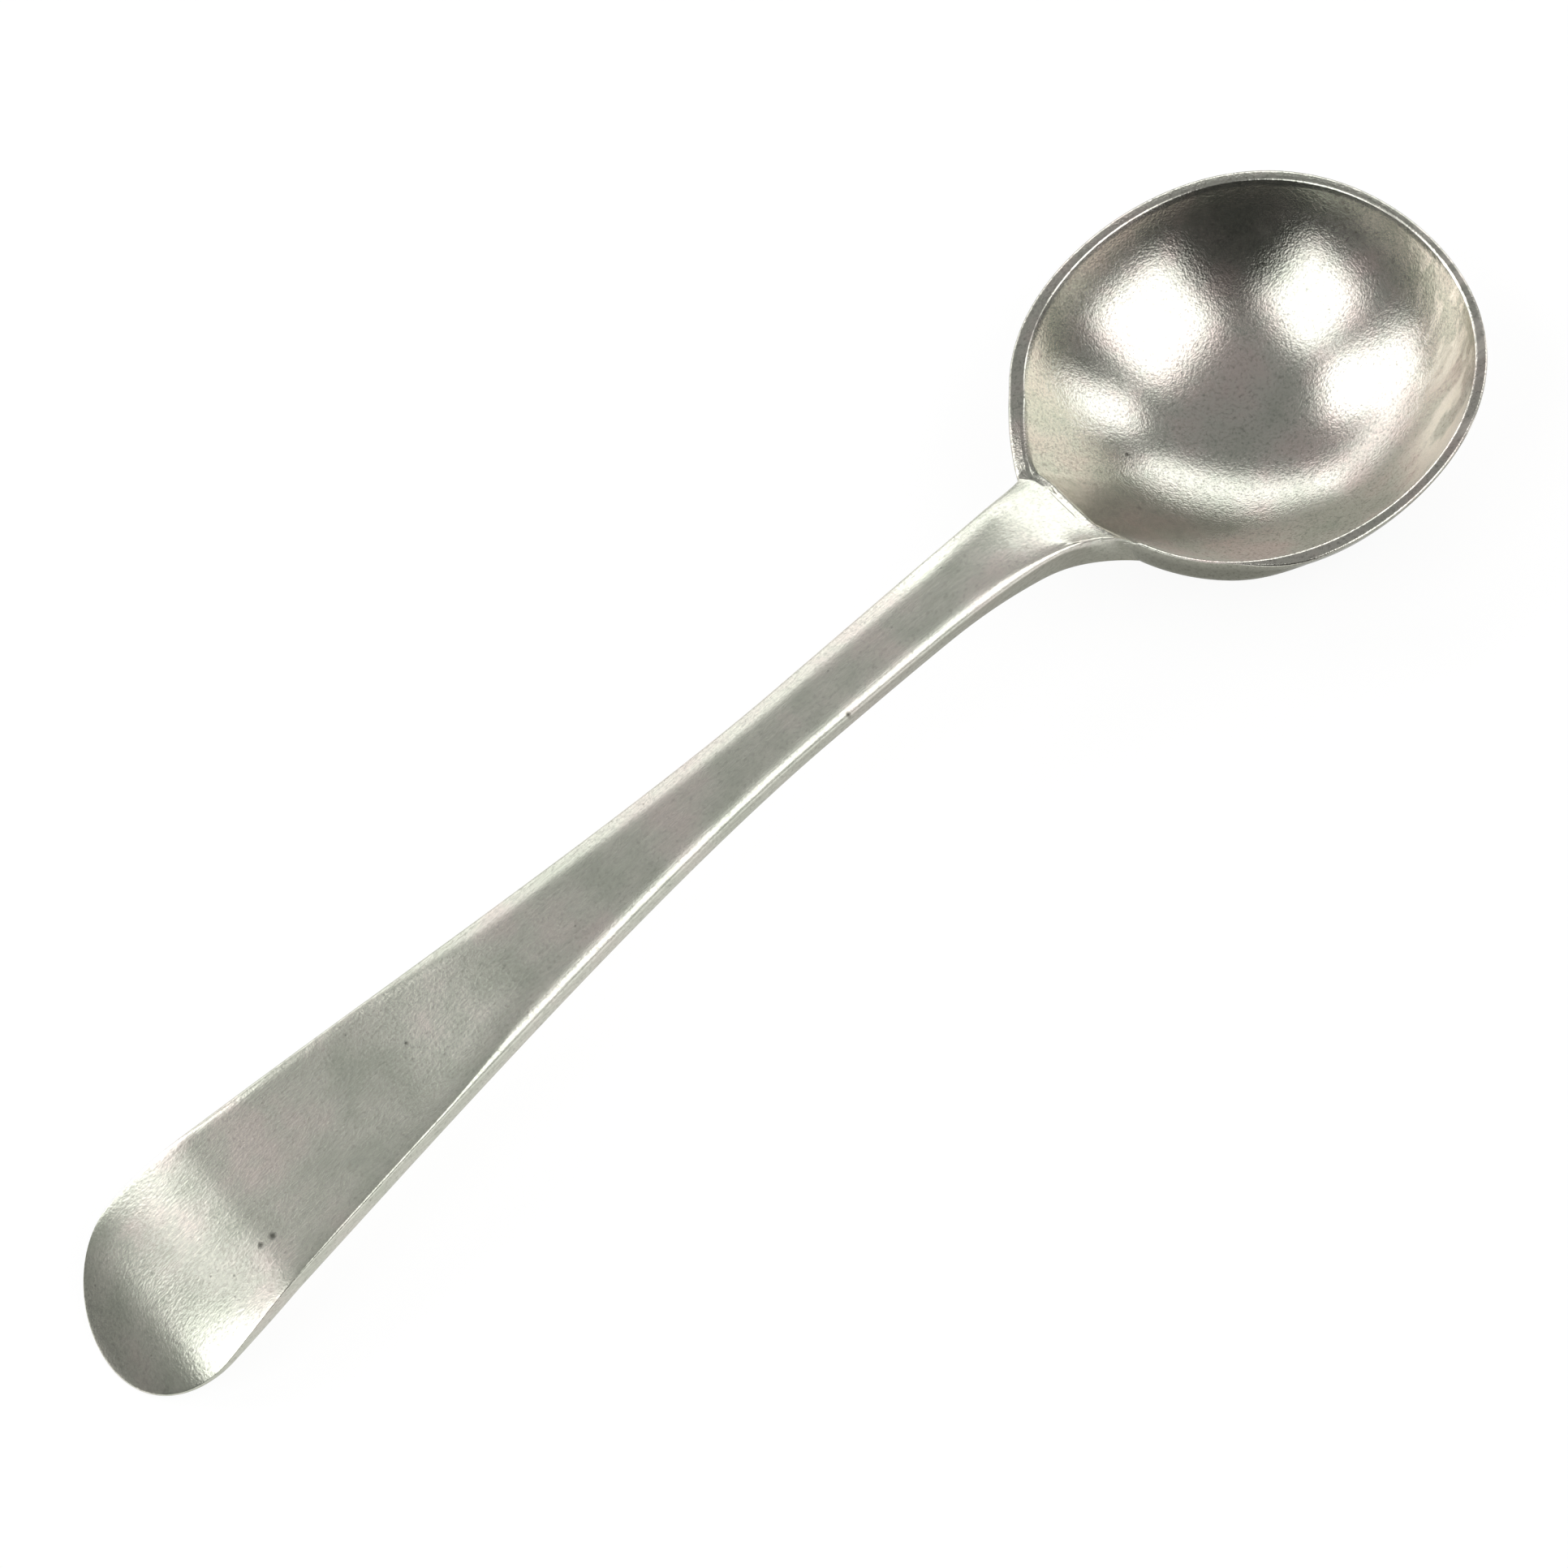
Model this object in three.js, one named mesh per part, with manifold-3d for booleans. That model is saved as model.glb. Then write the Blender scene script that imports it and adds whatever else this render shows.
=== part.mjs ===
// A plain silver salt spoon: a round raised bowl, a forged stem that widens to a rounded,
// turned-down end, and the seam of hard solder that joins the two.
// Millimetres, +Z up, +X from the stem's end towards the bowl. The origin is the middle of the
// worn flat under the bowl, on the table that the spoon lies on.
import * as THREE from 'three';
import { mergeVertices } from 'three/addons/utils/BufferGeometryUtils.js';
import Module from 'manifold-3d';

const { lerp, smoothstep, degToRad } = THREE.MathUtils;

// Whole spoon, from the stem's end to the far side of the rim.
const OVERALL_LENGTH = 100;

// Bowl: an even wall raised to a cap of a sphere, its rim cut square to the wall.
const MOUTH_RADIUS = 13;
const BOWL_DEPTH = 7.8;
const BOWL_WALL = 1.05;
const REST_FLAT_RADIUS = 3;

// Stem seen from above: a round end, a long taper to the waist, a hollow curve into the rim.
// A fullness is the length of a curve's handle: how far the curve keeps its first direction.
const END_WIDTH = 12.6;
const END_ROUND = 5.4;
const END_FULLNESS = 6.1;
const WAIST_WIDTH = 4.5;
const WAIST_SETBACK = 19.6;
const WAIST_FULLNESS = 15.5;
const NECK_FILLET = 8;

// Stem seen from the side: the end turns down to the table, and a crest stands before the bowl.
const TURN_DOWN_LENGTH = 7.15;
const TURN_DOWN_ANGLE = degToRad(27.5);
const BEND_RUN_OUT = 3.1;
const RISE_ANGLE = degToRad(8.3);
const RISE_FULLNESS = 16;
const CREST_SETBACK = 9.7;
const CREST_RISE = 1.45;
const CREST_FULLNESS = 7.5;
const DIP_FULLNESS = 6;
const DIP_ANGLE = degToRad(22);
const DIP_RUN_OUT = 2;

// Stem in section: a flat top between bevelled shoulders, upright edges, a flat underside.
const EDGE_HEIGHT = 1.2;
const NECK_EDGE_HEIGHT = 1.9;
const SHOULDER_ANGLE = degToRad(18);
const END_SHOULDER = 0.5;
const STEM_SHOULDER = 1.35;
const NECK_SHOULDER = 0.5;
const SHOULDER_START = 22;
const SHOULDER_FULL = 32;
const SHOULDER_ROUNDING = 0.72;
const UNDER_EDGE = 0.2;
const END_WEAR = 0.2;

// Drop: the stem's tongue, lapped down the bowl's back under the neck.
const DROP_LENGTH = 5.5;
const DROP_WIDTH = 4.4;
const DROP_THICKNESS = 0.9;
const DROP_ROOT = 1;

// Solder film between the bowl and the stem, with a working clearance on each face.
const SEAM_THICKNESS = 0.2;
const SEAM_CLEARANCE = 0.05;

// Fineness of the faceted surfaces.
const ROUND_STEPS = 72;
const BOWL_STEPS = 14;
const END_STEPS = 14;
const STEM_STEPS = 42;
const NECK_STEPS = 14;
const FLAT_STEPS = 3;
const CURVE_POINTS = 200;

// Sizes that follow from those above.
const innerSphere = (MOUTH_RADIUS ** 2 + BOWL_DEPTH ** 2) / (2 * BOWL_DEPTH);
const outerSphere = innerSphere + BOWL_WALL;
const sphereHeight = Math.sqrt(outerSphere ** 2 - REST_FLAT_RADIUS ** 2);
const rimAngle = Math.atan2(MOUTH_RADIUS, innerSphere - BOWL_DEPTH);
const restAngle = Math.asin(REST_FLAT_RADIUS / outerSphere);
const rimRadius = outerSphere * Math.sin(rimAngle);
const rimEdgeHeight = sphereHeight - outerSphere * Math.cos(rimAngle);
const rimTopHeight = sphereHeight - innerSphere * Math.cos(rimAngle);
const seamInner = outerSphere + SEAM_CLEARANCE;
const seamOuter = seamInner + SEAM_THICKNESS;
const stemSeat = seamOuter + SEAM_CLEARANCE;
const endRadius = END_WIDTH / 2;
const waistHalf = WAIST_WIDTH / 2;
const endX = rimRadius - OVERALL_LENGTH;
const endCentreX = endX + END_ROUND;
const crestX = -rimRadius - CREST_SETBACK;
const waistX = -rimRadius - WAIST_SETBACK;
const filletY = waistHalf + NECK_FILLET;
const filletX = -Math.sqrt((rimRadius + NECK_FILLET) ** 2 - filletY ** 2);
const neckX = (filletX * rimRadius) / (rimRadius + NECK_FILLET);
const buriedX = neckX + DROP_LENGTH / 2;

const wasm = await Module();
wasm.setup();

/** Joins equal vertices and drops the empty triangles that poles and folds leave behind. */
function weld(geometry) {
  const bare = geometry.clone();
  bare.deleteAttribute('normal');
  bare.deleteAttribute('uv');
  const merged = mergeVertices(bare);
  const corners = merged.index.array;
  const kept = [];
  for (let i = 0; i < corners.length; i += 3) {
    const [a, b, c] = corners.slice(i, i + 3);
    if (a !== b && b !== c && c !== a) kept.push(a, b, c);
  }
  merged.setIndex(kept);
  return merged;
}

/** Turns a closed geometry into a solid that can be joined and cut. */
function solidOf(geometry) {
  const welded = weld(geometry);
  return new wasm.Manifold(new wasm.Mesh({
    numProp: 3,
    vertProperties: Float32Array.from(welded.attributes.position.array),
    triVerts: Uint32Array.from(welded.index.array),
  }));
}

/** Turns a solid back into a geometry. */
function geometryOf(solid) {
  const { vertProperties, triVerts } = solid.getMesh();
  const geometry = new THREE.BufferGeometry();
  geometry.setAttribute('position', new THREE.BufferAttribute(vertProperties, 3));
  geometry.setIndex(new THREE.BufferAttribute(triVerts, 1));
  geometry.computeVertexNormals();
  return geometry;
}

/** A ball about the centre of the bowl's sphere. */
function ball(radius) {
  const sphere = new THREE.SphereGeometry(radius, ROUND_STEPS, ROUND_STEPS / 2);
  return solidOf(sphere.rotateX(Math.PI / 2).translate(0, 0, sphereHeight));
}

/** Points of the bowl's profile on a sphere of this radius, from one polar angle to another. */
function profileArc(radius, from, to) {
  const points = [];
  for (let i = 0; i <= BOWL_STEPS; i += 1) {
    const angle = lerp(from, to, i / BOWL_STEPS);
    points.push(new THREE.Vector2(radius * Math.sin(angle), sphereHeight - radius * Math.cos(angle)));
  }
  return points;
}

/** The bowl: the worn flat, the outside up to the rim, and the inside back down to the axis. */
function bowlGeometry() {
  const profile = [
    new THREE.Vector2(0, 0),
    ...profileArc(outerSphere, restAngle, rimAngle),
    ...profileArc(innerSphere, rimAngle, 0),
  ];
  return weld(new THREE.LatheGeometry(profile, ROUND_STEPS).rotateX(Math.PI / 2));
}

/** A function that reads the second coordinate of a chain of curves at a value of the first. */
function readAlong(curves) {
  const points = curves.flatMap((curve) => curve.getPoints(CURVE_POINTS));
  return (at) => {
    const next = points.findIndex((point) => point.x > at);
    if (next === 0) return points[0].y;
    if (next < 0) return points[points.length - 1].y;
    const [before, after] = [points[next - 1], points[next]];
    return lerp(before.y, after.y, (at - before.x) / (after.x - before.x));
  };
}

/** Half the stem's width at x, from the middle of its round end to inside the bowl. */
function halfWidthReader() {
  const taper = new THREE.CubicBezierCurve(
    new THREE.Vector2(endCentreX, endRadius),
    new THREE.Vector2(endCentreX + END_FULLNESS, endRadius),
    new THREE.Vector2(waistX - WAIST_FULLNESS, waistHalf),
    new THREE.Vector2(waistX, waistHalf),
  );
  const fillet = new THREE.EllipseCurve(
    filletX,
    filletY,
    NECK_FILLET,
    NECK_FILLET,
    -Math.PI / 2,
    Math.atan2(-filletY, -filletX),
    false,
  );
  return readAlong([taper, fillet]);
}

/** Height of the top of the stem's upright edge at x, from its end to the rim. */
function edgeLineReader() {
  const end = new THREE.Vector2(endX, EDGE_HEIGHT - END_WEAR);
  const corner = new THREE.Vector2(
    endX + TURN_DOWN_LENGTH,
    end.y + TURN_DOWN_LENGTH * Math.tan(TURN_DOWN_ANGLE),
  );
  const rise = new THREE.Vector2(1, Math.tan(RISE_ANGLE));
  const bend = corner.clone().addScaledVector(rise, BEND_RUN_OUT);
  const crest = new THREE.Vector2(crestX, rimTopHeight + CREST_RISE);
  const level = new THREE.Vector2(1, 0);
  const rim = new THREE.Vector2(-rimRadius, rimEdgeHeight);
  const dip = new THREE.Vector2(1, -Math.tan(DIP_ANGLE));
  return readAlong([
    new THREE.QuadraticBezierCurve(end, corner, bend),
    new THREE.CubicBezierCurve(
      bend,
      bend.clone().addScaledVector(rise, RISE_FULLNESS),
      crest.clone().addScaledVector(level, -CREST_FULLNESS),
      crest,
    ),
    new THREE.CubicBezierCurve(
      crest,
      crest.clone().addScaledVector(level, DIP_FULLNESS),
      rim.clone().addScaledVector(dip, -DIP_RUN_OUT),
      rim,
    ),
  ]);
}

const halfWidthAt = halfWidthReader();
const edgeLineAt = edgeLineReader();

/** Radius of the bowl's outside at a height. */
function bowlRadiusAt(height) {
  return Math.sqrt(outerSphere ** 2 - (sphereHeight - height) ** 2);
}

/**
 * Half of the stem's section at x, as [distance from the middle, height above the edge line],
 * from the middle of the top, round the edge, to the middle of the underside. At the neck the
 * edge deepens and leans in, until it lies along the bowl's outside.
 */
function halfSection(x, halfWidth) {
  const towardStem = smoothstep(x, endX + SHOULDER_START, endX + SHOULDER_FULL);
  const towardNeck = smoothstep(x, crestX, -rimRadius);
  const towardRim = smoothstep(x, filletX, neckX);
  const shoulder = lerp(lerp(END_SHOULDER, STEM_SHOULDER, towardStem), NECK_SHOULDER, towardNeck);
  const crown = shoulder * Math.tan(SHOULDER_ANGLE);
  const depth = lerp(EDGE_HEIGHT, NECK_EDGE_HEIGHT, towardNeck);
  const lean = towardRim * (rimRadius - bowlRadiusAt(rimEdgeHeight - depth));
  const flat = halfWidth - shoulder;
  const under = halfWidth - lean - UNDER_EDGE;
  const top = [];
  const underside = [];
  for (let k = 0; k <= FLAT_STEPS; k += 1) {
    top.push([(flat * k) / FLAT_STEPS, crown]);
    underside.unshift([(under * k) / FLAT_STEPS, -depth]);
  }
  return [
    ...top,
    [halfWidth - shoulder / 2, crown * SHOULDER_ROUNDING],
    [halfWidth, 0],
    [halfWidth - lean, UNDER_EDGE - depth],
    ...underside,
  ];
}

/** Height of the edge line over a point; past the crest the neck falls to the rim all round it. */
function edgeHeightAt(x, y) {
  return edgeLineAt(x < crestX ? x : -Math.hypot(x, y));
}

/** One row of points round half the stem; out is the way in plan from the middle to the edge. */
function stemRow(centreX, out, halfWidth) {
  return halfSection(centreX, halfWidth).map(([reach, rise]) => {
    const x = centreX + out.x * reach;
    const y = out.y * reach;
    return new THREE.Vector3(x, y, Math.max(edgeHeightAt(x, y) + rise, 0));
  });
}

/** Rows round the end, then along the stem and the neck into the bowl. */
function stemRows() {
  const rows = [];
  for (let i = 0; i < END_STEPS; i += 1) {
    const turn = (Math.PI / 2) * (i / END_STEPS);
    const out = new THREE.Vector2((-Math.cos(turn) * END_ROUND) / endRadius, Math.sin(turn));
    rows.push(stemRow(endCentreX, out, endRadius));
  }
  const sideways = new THREE.Vector2(0, 1);
  const stations = [];
  for (let i = 0; i < STEM_STEPS; i += 1) stations.push(lerp(endCentreX, filletX, i / STEM_STEPS));
  for (let i = 0; i <= NECK_STEPS; i += 1) stations.push(lerp(filletX, neckX, i / NECK_STEPS));
  stations.push(buriedX);
  stations.forEach((x) => rows.push(stemRow(x, sideways, halfWidthAt(x))));
  return rows;
}

/** The stem before it is seated: both halves of its skin, closed where it ends inside the bowl. */
function stemBlank() {
  const rows = stemRows();
  const corners = [];
  const mirror = new THREE.Vector3(1, -1, 1);
  const addTriangle = (a, b, c) => {
    corners.push(a, b, c);
    corners.push(...[c, b, a].map((corner) => corner.clone().multiply(mirror)));
  };
  for (let i = 0; i + 1 < rows.length; i += 1) {
    for (let j = 0; j + 1 < rows[i].length; j += 1) {
      addTriangle(rows[i][j], rows[i + 1][j], rows[i + 1][j + 1]);
      addTriangle(rows[i][j], rows[i + 1][j + 1], rows[i][j + 1]);
    }
  }
  const last = rows[rows.length - 1];
  for (let j = 1; j + 1 < last.length; j += 1) addTriangle(last[0], last[j + 1], last[j]);
  return solidOf(new THREE.BufferGeometry().setFromPoints(corners));
}

/** An upright block of the drop's outline, from its rounded tip to its root inside the neck. */
function dropBlock() {
  const half = DROP_WIDTH / 2;
  const rootX = -rimRadius - DROP_ROOT;
  const tipX = -rimRadius + DROP_LENGTH - half;
  const outline = new THREE.Shape();
  outline.moveTo(rootX, -half);
  outline.lineTo(tipX, -half);
  outline.absarc(tipX, 0, half, -Math.PI / 2, Math.PI / 2, false);
  outline.lineTo(rootX, half);
  const top = rimEdgeHeight - NECK_EDGE_HEIGHT / 2;
  const block = new THREE.ExtrudeGeometry(outline, {
    depth: top,
    bevelEnabled: false,
    curveSegments: END_STEPS,
  });
  return solidOf(block);
}

const blank = stemBlank();
const drop = dropBlock();

/** The stem: its blank and its drop, seated on the back of the bowl. */
function stemGeometry() {
  const tongue = drop.intersect(ball(stemSeat + DROP_THICKNESS));
  return geometryOf(blank.add(tongue).subtract(ball(stemSeat)));
}

/** The solder: the part of the joint's film that the neck and the drop cover. */
function seamGeometry() {
  const film = ball(seamOuter).subtract(ball(seamInner));
  return geometryOf(film.intersect(blank.add(drop)));
}

/** A named piece with its metal. */
function piece(name, geometry, metal) {
  const mesh = new THREE.Mesh(geometry, new THREE.MeshStandardMaterial(metal));
  mesh.name = name;
  return mesh;
}

const wornSilver = { color: 0xbab9b0, metalness: 1, roughness: 0.3 };
const silverSolder = { color: 0xb3b1a4, metalness: 1, roughness: 0.4 };

const spoon = new THREE.Group();
spoon.name = 'salt_spoon';
spoon.add(
  piece('bowl', bowlGeometry(), wornSilver),
  piece('stem', stemGeometry(), wornSilver),
  piece('solder_seam', seamGeometry(), silverSolder),
);

export default spoon;
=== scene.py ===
"""Looks of a worn silver salt spoon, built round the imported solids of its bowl, stem and solder.

Sizes in the classes are millimetres in the frame of the solids: +X runs from the end of the stem to
the bowl, +Z is up, and the photographed side is -Y. Meshes go to Blender in metres.
"""

import logging
import math
from collections.abc import Sequence
from dataclasses import dataclass, field
from enum import Enum

import bmesh
import bpy
import numpy as np
from bpy.types import Material, Node, NodeSocket, NodeTree, Object
from mathutils import Matrix, Vector, noise


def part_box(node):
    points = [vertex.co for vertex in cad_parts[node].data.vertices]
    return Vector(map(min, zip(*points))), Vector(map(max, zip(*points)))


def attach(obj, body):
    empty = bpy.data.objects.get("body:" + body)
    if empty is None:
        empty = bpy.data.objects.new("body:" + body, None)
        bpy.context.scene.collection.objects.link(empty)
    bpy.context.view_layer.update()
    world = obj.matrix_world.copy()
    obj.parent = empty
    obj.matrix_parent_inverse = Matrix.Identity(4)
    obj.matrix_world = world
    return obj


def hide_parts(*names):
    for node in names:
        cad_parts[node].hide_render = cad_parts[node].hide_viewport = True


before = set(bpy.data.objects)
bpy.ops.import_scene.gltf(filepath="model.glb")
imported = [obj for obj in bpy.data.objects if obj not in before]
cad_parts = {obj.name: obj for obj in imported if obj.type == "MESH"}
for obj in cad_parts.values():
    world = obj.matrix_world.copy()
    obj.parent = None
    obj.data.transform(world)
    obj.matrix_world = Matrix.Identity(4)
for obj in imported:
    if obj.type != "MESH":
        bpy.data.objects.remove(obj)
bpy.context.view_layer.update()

MM = 0.001
BODY = "root"
PHOTO_PIXELS = 1932
SHARP_EDGE = math.radians(55)
WELD_MM = 0.002
# Points that the rounding of one corner adds to a line.
ROUND_POINTS = 7
# Most of a run that a rounding takes up: nearly all of an end run, and half of one between two roundings.
END_RUN_SHARE = 0.98
INNER_RUN_SHARE = 0.49
# Nearly all values of a noise texture lie in the first range, and of a sum of two in the second.
NOISE_RANGE = (0.35, 0.65)
NOISE_SUM_RANGE = (0.75, 1.25)

Numbers = np.ndarray | float

log = logging.getLogger("salt_spoon")


class Side(Enum):
    """The two long edges of the stem, by the sign of their Y."""

    NEAR = -1
    FAR = 1


class Lay(Enum):
    """Direction in which years of rubbing have drawn the scratches."""

    LENGTHWISE = (0.06, 1.0, 1.0)
    EVERY_WAY = (1.0, 1.0, 1.0)


def linear(hex_colour: str) -> tuple[float, float, float, float]:
    """Turns an sRGB hex colour to linear RGBA.

    Args:
        hex_colour: Six hex digits after a #.

    Returns:
        Linear red, green, blue and an alpha of 1.
    """
    shares = (int(hex_colour[i : i + 2], 16) / 255 for i in (1, 3, 5))
    red, green, blue = (s / 12.92 if s <= 0.04045 else ((s + 0.055) / 1.055) ** 2.4 for s in shares)
    return red, green, blue, 1.0


def add_node(
    tree: NodeTree,
    kind: str,
    settings: dict[str, object] | None = None,
    inputs: dict[int | str, object] | None = None,
) -> Node:
    """Adds one node with its settings and links.

    Args:
        tree: Tree that gets the node.
        kind: Blender's name of the node type.
        settings: Properties of the node, by name.
        inputs: Sockets by name or place: an output socket is linked, any other value is set.

    Returns:
        The new node.
    """
    node = tree.nodes.new(kind)
    for name, value in (settings or {}).items():
        setattr(node, name, value)
    for socket, value in (inputs or {}).items():
        if isinstance(value, NodeSocket):
            tree.links.new(value, node.inputs[socket])
        else:
            node.inputs[socket].default_value = value
    return node


def smooth_share(value: Numbers, start: float, end: float) -> Numbers:
    """Share of the way from start to end, eased at both ends and held at 0 and 1 outside them."""
    share = np.clip((value - start) / (end - start), 0.0, 1.0)
    return share * share * (3.0 - 2.0 * share)


def blend(start: Numbers, end: Numbers, share: Numbers) -> Numbers:
    """Value a share of the way from start to end."""
    return start + (end - start) * share


def along_bezier(controls: list[np.ndarray], share: Numbers) -> np.ndarray:
    """Points on Bezier curves.

    Args:
        controls: Control points of the curves, one curve a row.
        share: How far along them.

    Returns:
        The points, one a row.
    """
    while len(controls) > 1:
        controls = [blend(a, b, share) for a, b in zip(controls, controls[1:])]
    return controls[0]


def bezier(*controls: Sequence[float], count: int = 160) -> np.ndarray:
    """Samples a Bezier curve.

    Args:
        controls: Its control points.
        count: Number of samples.

    Returns:
        Points of the curve, one a row.
    """
    share = np.linspace(0.0, 1.0, count)[:, None]
    return along_bezier([np.repeat(np.array([c], float), count, axis=0) for c in controls], share)


def round_corners(
    corners: Sequence[tuple[float, float]], radii: Sequence[float], steps: Sequence[int],
) -> np.ndarray:
    """Samples a line of straight runs with each inner corner worn round.

    Args:
        corners: Corners of the line, with its two ends.
        radii: How far from each inner corner the rounding starts, at most.
        steps: Points on each straight run.

    Returns:
        Points of the rounded line, one a row, as many for any corners and radii.
    """
    at = np.array(corners, float)
    pieces = []
    start = at[0]
    most = [END_RUN_SHARE] + [INNER_RUN_SHARE] * (len(radii) - 1) + [END_RUN_SHARE]
    for place, (radius, count) in enumerate(zip(radii, steps)):
        corner = at[place + 1]
        run_in, run_out = corner - at[place], at[place + 2] - corner
        enter = corner - run_in * min(radius / np.linalg.norm(run_in), most[place])
        leave = corner + run_out * min(radius / np.linalg.norm(run_out), most[place + 1])
        pieces.append(np.linspace(start, enter, count, endpoint=False))
        pieces.append(bezier(enter, corner, leave, count=ROUND_POINTS + 1)[:-1])
        start = leave
    pieces.append(np.linspace(start, at[-1], steps[-1]))
    return np.concatenate(pieces)


def toward(azimuth: float, elevation: float) -> Vector:
    """Unit vector to a place round the spoon: azimuth 0 is the photographed side, 90 is +X."""
    a, e = math.radians(azimuth), math.radians(elevation)
    return Vector((math.sin(a) * math.cos(e), -math.cos(a) * math.cos(e), math.sin(e)))


@dataclass
class Skin:
    """One closed surface, gathered from grids of points that share their edges."""

    points: list[np.ndarray] = field(default_factory=list)
    faces: list[np.ndarray] = field(default_factory=list)
    count: int = 0

    def add_grid(self, grid: np.ndarray) -> None:
        """Adds the quads between neighbouring points of a grid.

        Args:
            grid: Points in millimetres, as rows by columns by three.
        """
        rows, columns, _ = grid.shape
        index = self.count + np.arange(rows * columns).reshape(rows, columns)
        quads = np.stack([index[:-1, :-1], index[1:, :-1], index[1:, 1:], index[:-1, 1:]], axis=-1)
        self.points.append(grid.reshape(-1, 3))
        self.faces.append(quads.reshape(-1, 4))
        self.count += rows * columns

    def add_fan(self, loop: np.ndarray, centre: np.ndarray) -> None:
        """Closes a loop of points with a fan of triangles about a centre, all in millimetres."""
        self.add_grid(np.stack([loop, np.broadcast_to(centre, loop.shape)]))

    def make(self, name: str, material: Material, node: str) -> Object:
        """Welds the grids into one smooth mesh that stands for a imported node.

        Args:
            name: Name of the piece.
            material: Its finish.
            node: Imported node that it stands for.

        Returns:
            The new object, riding on the spoon's one body.
        """
        mesh = bpy.data.meshes.new(name)
        vertices = np.concatenate(self.points) * MM
        mesh.from_pydata(vertices.tolist(), [], np.concatenate(self.faces).tolist())
        shape = bmesh.new()
        shape.from_mesh(mesh)
        bmesh.ops.remove_doubles(shape, verts=shape.verts, dist=WELD_MM * MM)
        bmesh.ops.recalc_face_normals(shape, faces=shape.faces)
        shape.to_mesh(mesh)
        shape.free()
        mesh.shade_smooth()
        mesh.set_sharp_from_angle(angle=SHARP_EDGE)
        mesh.materials.append(material)
        piece = bpy.data.objects.new(name, mesh)
        bpy.context.scene.collection.objects.link(piece)
        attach(piece, BODY)
        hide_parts(node)
        log.info("%s: %d points, stands for %s", name, len(mesh.vertices), node)
        return piece


@dataclass(frozen=True)
class Blemish:
    """One small dark pit: its place and width in millimetres, how its edge fades and how dark it is."""

    place: tuple[float, float, float]
    width: float
    edge: tuple[float, float] = (0.1, 0.5)
    darkness: float = 0.8


@dataclass(frozen=True)
class TarnishAndShade:
    """Darker layer on faces that look sideways or down: partly tarnish that stays where no cloth rubs,
    partly painted shade of the shaded floor that they mirror.

    Its cover is given at two places along the spoon, and it thins out as a face turns upward. On the bowl
    only the outside keeps it.
    """

    colour: str
    span_x: tuple[float, float] = (-45.0, -15.0)
    cover: tuple[float, float] = (1.0, 1.0)
    upward: tuple[float, float] = (0.2, 0.45)
    outside_only: bool = False
    inside_mm: float = 0.5

    def mask(
        self, tree: NodeTree, place: NodeSocket, normal: NodeSocket, along: NodeSocket,
    ) -> NodeSocket:
        """Adds the tarnish and painted shade to a material.

        Args:
            tree: Tree of the material.
            place: Object coordinates, in metres.
            normal: Normal of the surface in the spoon's frame.
            along: X in metres.

        Returns:
            A socket with the share of tarnish and painted shade.
        """
        facing = add_node(tree, "ShaderNodeSeparateXYZ", None, {0: normal}).outputs["Z"]
        start, end = self.span_x
        covered = add_node(
            tree, "ShaderNodeMapRange", None,
            {0: along, 1: start * MM, 2: end * MM, 3: self.cover[0], 4: self.cover[1]},
        )
        # Faces that look sideways or down get the darker colour: tarnish, and painted shade of the floor
        # they mirror.
        tarnish_and_shade_share = add_node(
            tree, "ShaderNodeMapRange", {"interpolation_type": "SMOOTHSTEP"},
            {0: facing, 1: self.upward[0], 2: self.upward[1], 3: covered.outputs[0], 4: 0.0},
        )
        if not self.outside_only:
            return tarnish_and_shade_share.outputs[0]
        plan = add_node(
            tree, "ShaderNodeVectorMath", {"operation": "MULTIPLY"}, {0: place, 1: (1.0, 1.0, 0.0)},
        )
        outward = add_node(
            tree, "ShaderNodeVectorMath", {"operation": "DOT_PRODUCT"}, {0: plan.outputs[0], 1: normal},
        )
        outside = add_node(
            tree, "ShaderNodeMath", {"operation": "GREATER_THAN"},
            {0: outward.outputs["Value"], 1: -self.inside_mm * MM},
        )
        return add_node(
            tree, "ShaderNodeMath", {"operation": "MULTIPLY"},
            {0: tarnish_and_shade_share.outputs[0], 1: outside.outputs[0]},
        ).outputs[0]


@dataclass(frozen=True)
class Patch:
    """One side of the bowl's wall: the way to it, and how far out it starts and is reached in full."""

    side: tuple[float, float, float]
    span: tuple[float, float]

    def mask(self, tree: NodeTree, place: NodeSocket) -> NodeSocket:
        """Adds the patch to a material.

        Args:
            tree: Tree of the material.
            place: Object coordinates, in metres.

        Returns:
            A socket that is 1 in the patch and 0 elsewhere.
        """
        reach = add_node(
            tree, "ShaderNodeVectorMath", {"operation": "DOT_PRODUCT"}, {0: place, 1: self.side},
        )
        return add_node(
            tree, "ShaderNodeMapRange", {"interpolation_type": "SMOOTHSTEP"},
            {0: reach.outputs["Value"], 1: self.span[0] * MM, 2: self.span[1] * MM},
        ).outputs[0]


@dataclass(frozen=True)
class Scouring:
    """Patch that salt has scoured matt: the share of scratches it adds, and where it ends at the rim."""

    patch: Patch
    share: float
    end_height: tuple[float, float] = (7.8, 8.5)

    def amount(self, tree: NodeTree, place: NodeSocket) -> NodeSocket:
        """Adds the scouring to a material.

        Args:
            tree: Tree of the material.
            place: Object coordinates, in metres.

        Returns:
            A socket with the share of scratches.
        """
        height = add_node(tree, "ShaderNodeSeparateXYZ", None, {0: place}).outputs["Z"]
        most = add_node(
            tree, "ShaderNodeMath", {"operation": "MULTIPLY"},
            {0: self.patch.mask(tree, place), 1: self.share},
        )
        start, end = self.end_height
        return add_node(
            tree, "ShaderNodeMapRange", None,
            {0: height, 1: start * MM, 2: end * MM, 3: most.outputs[0], 4: 0.0},
        ).outputs[0]


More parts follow.
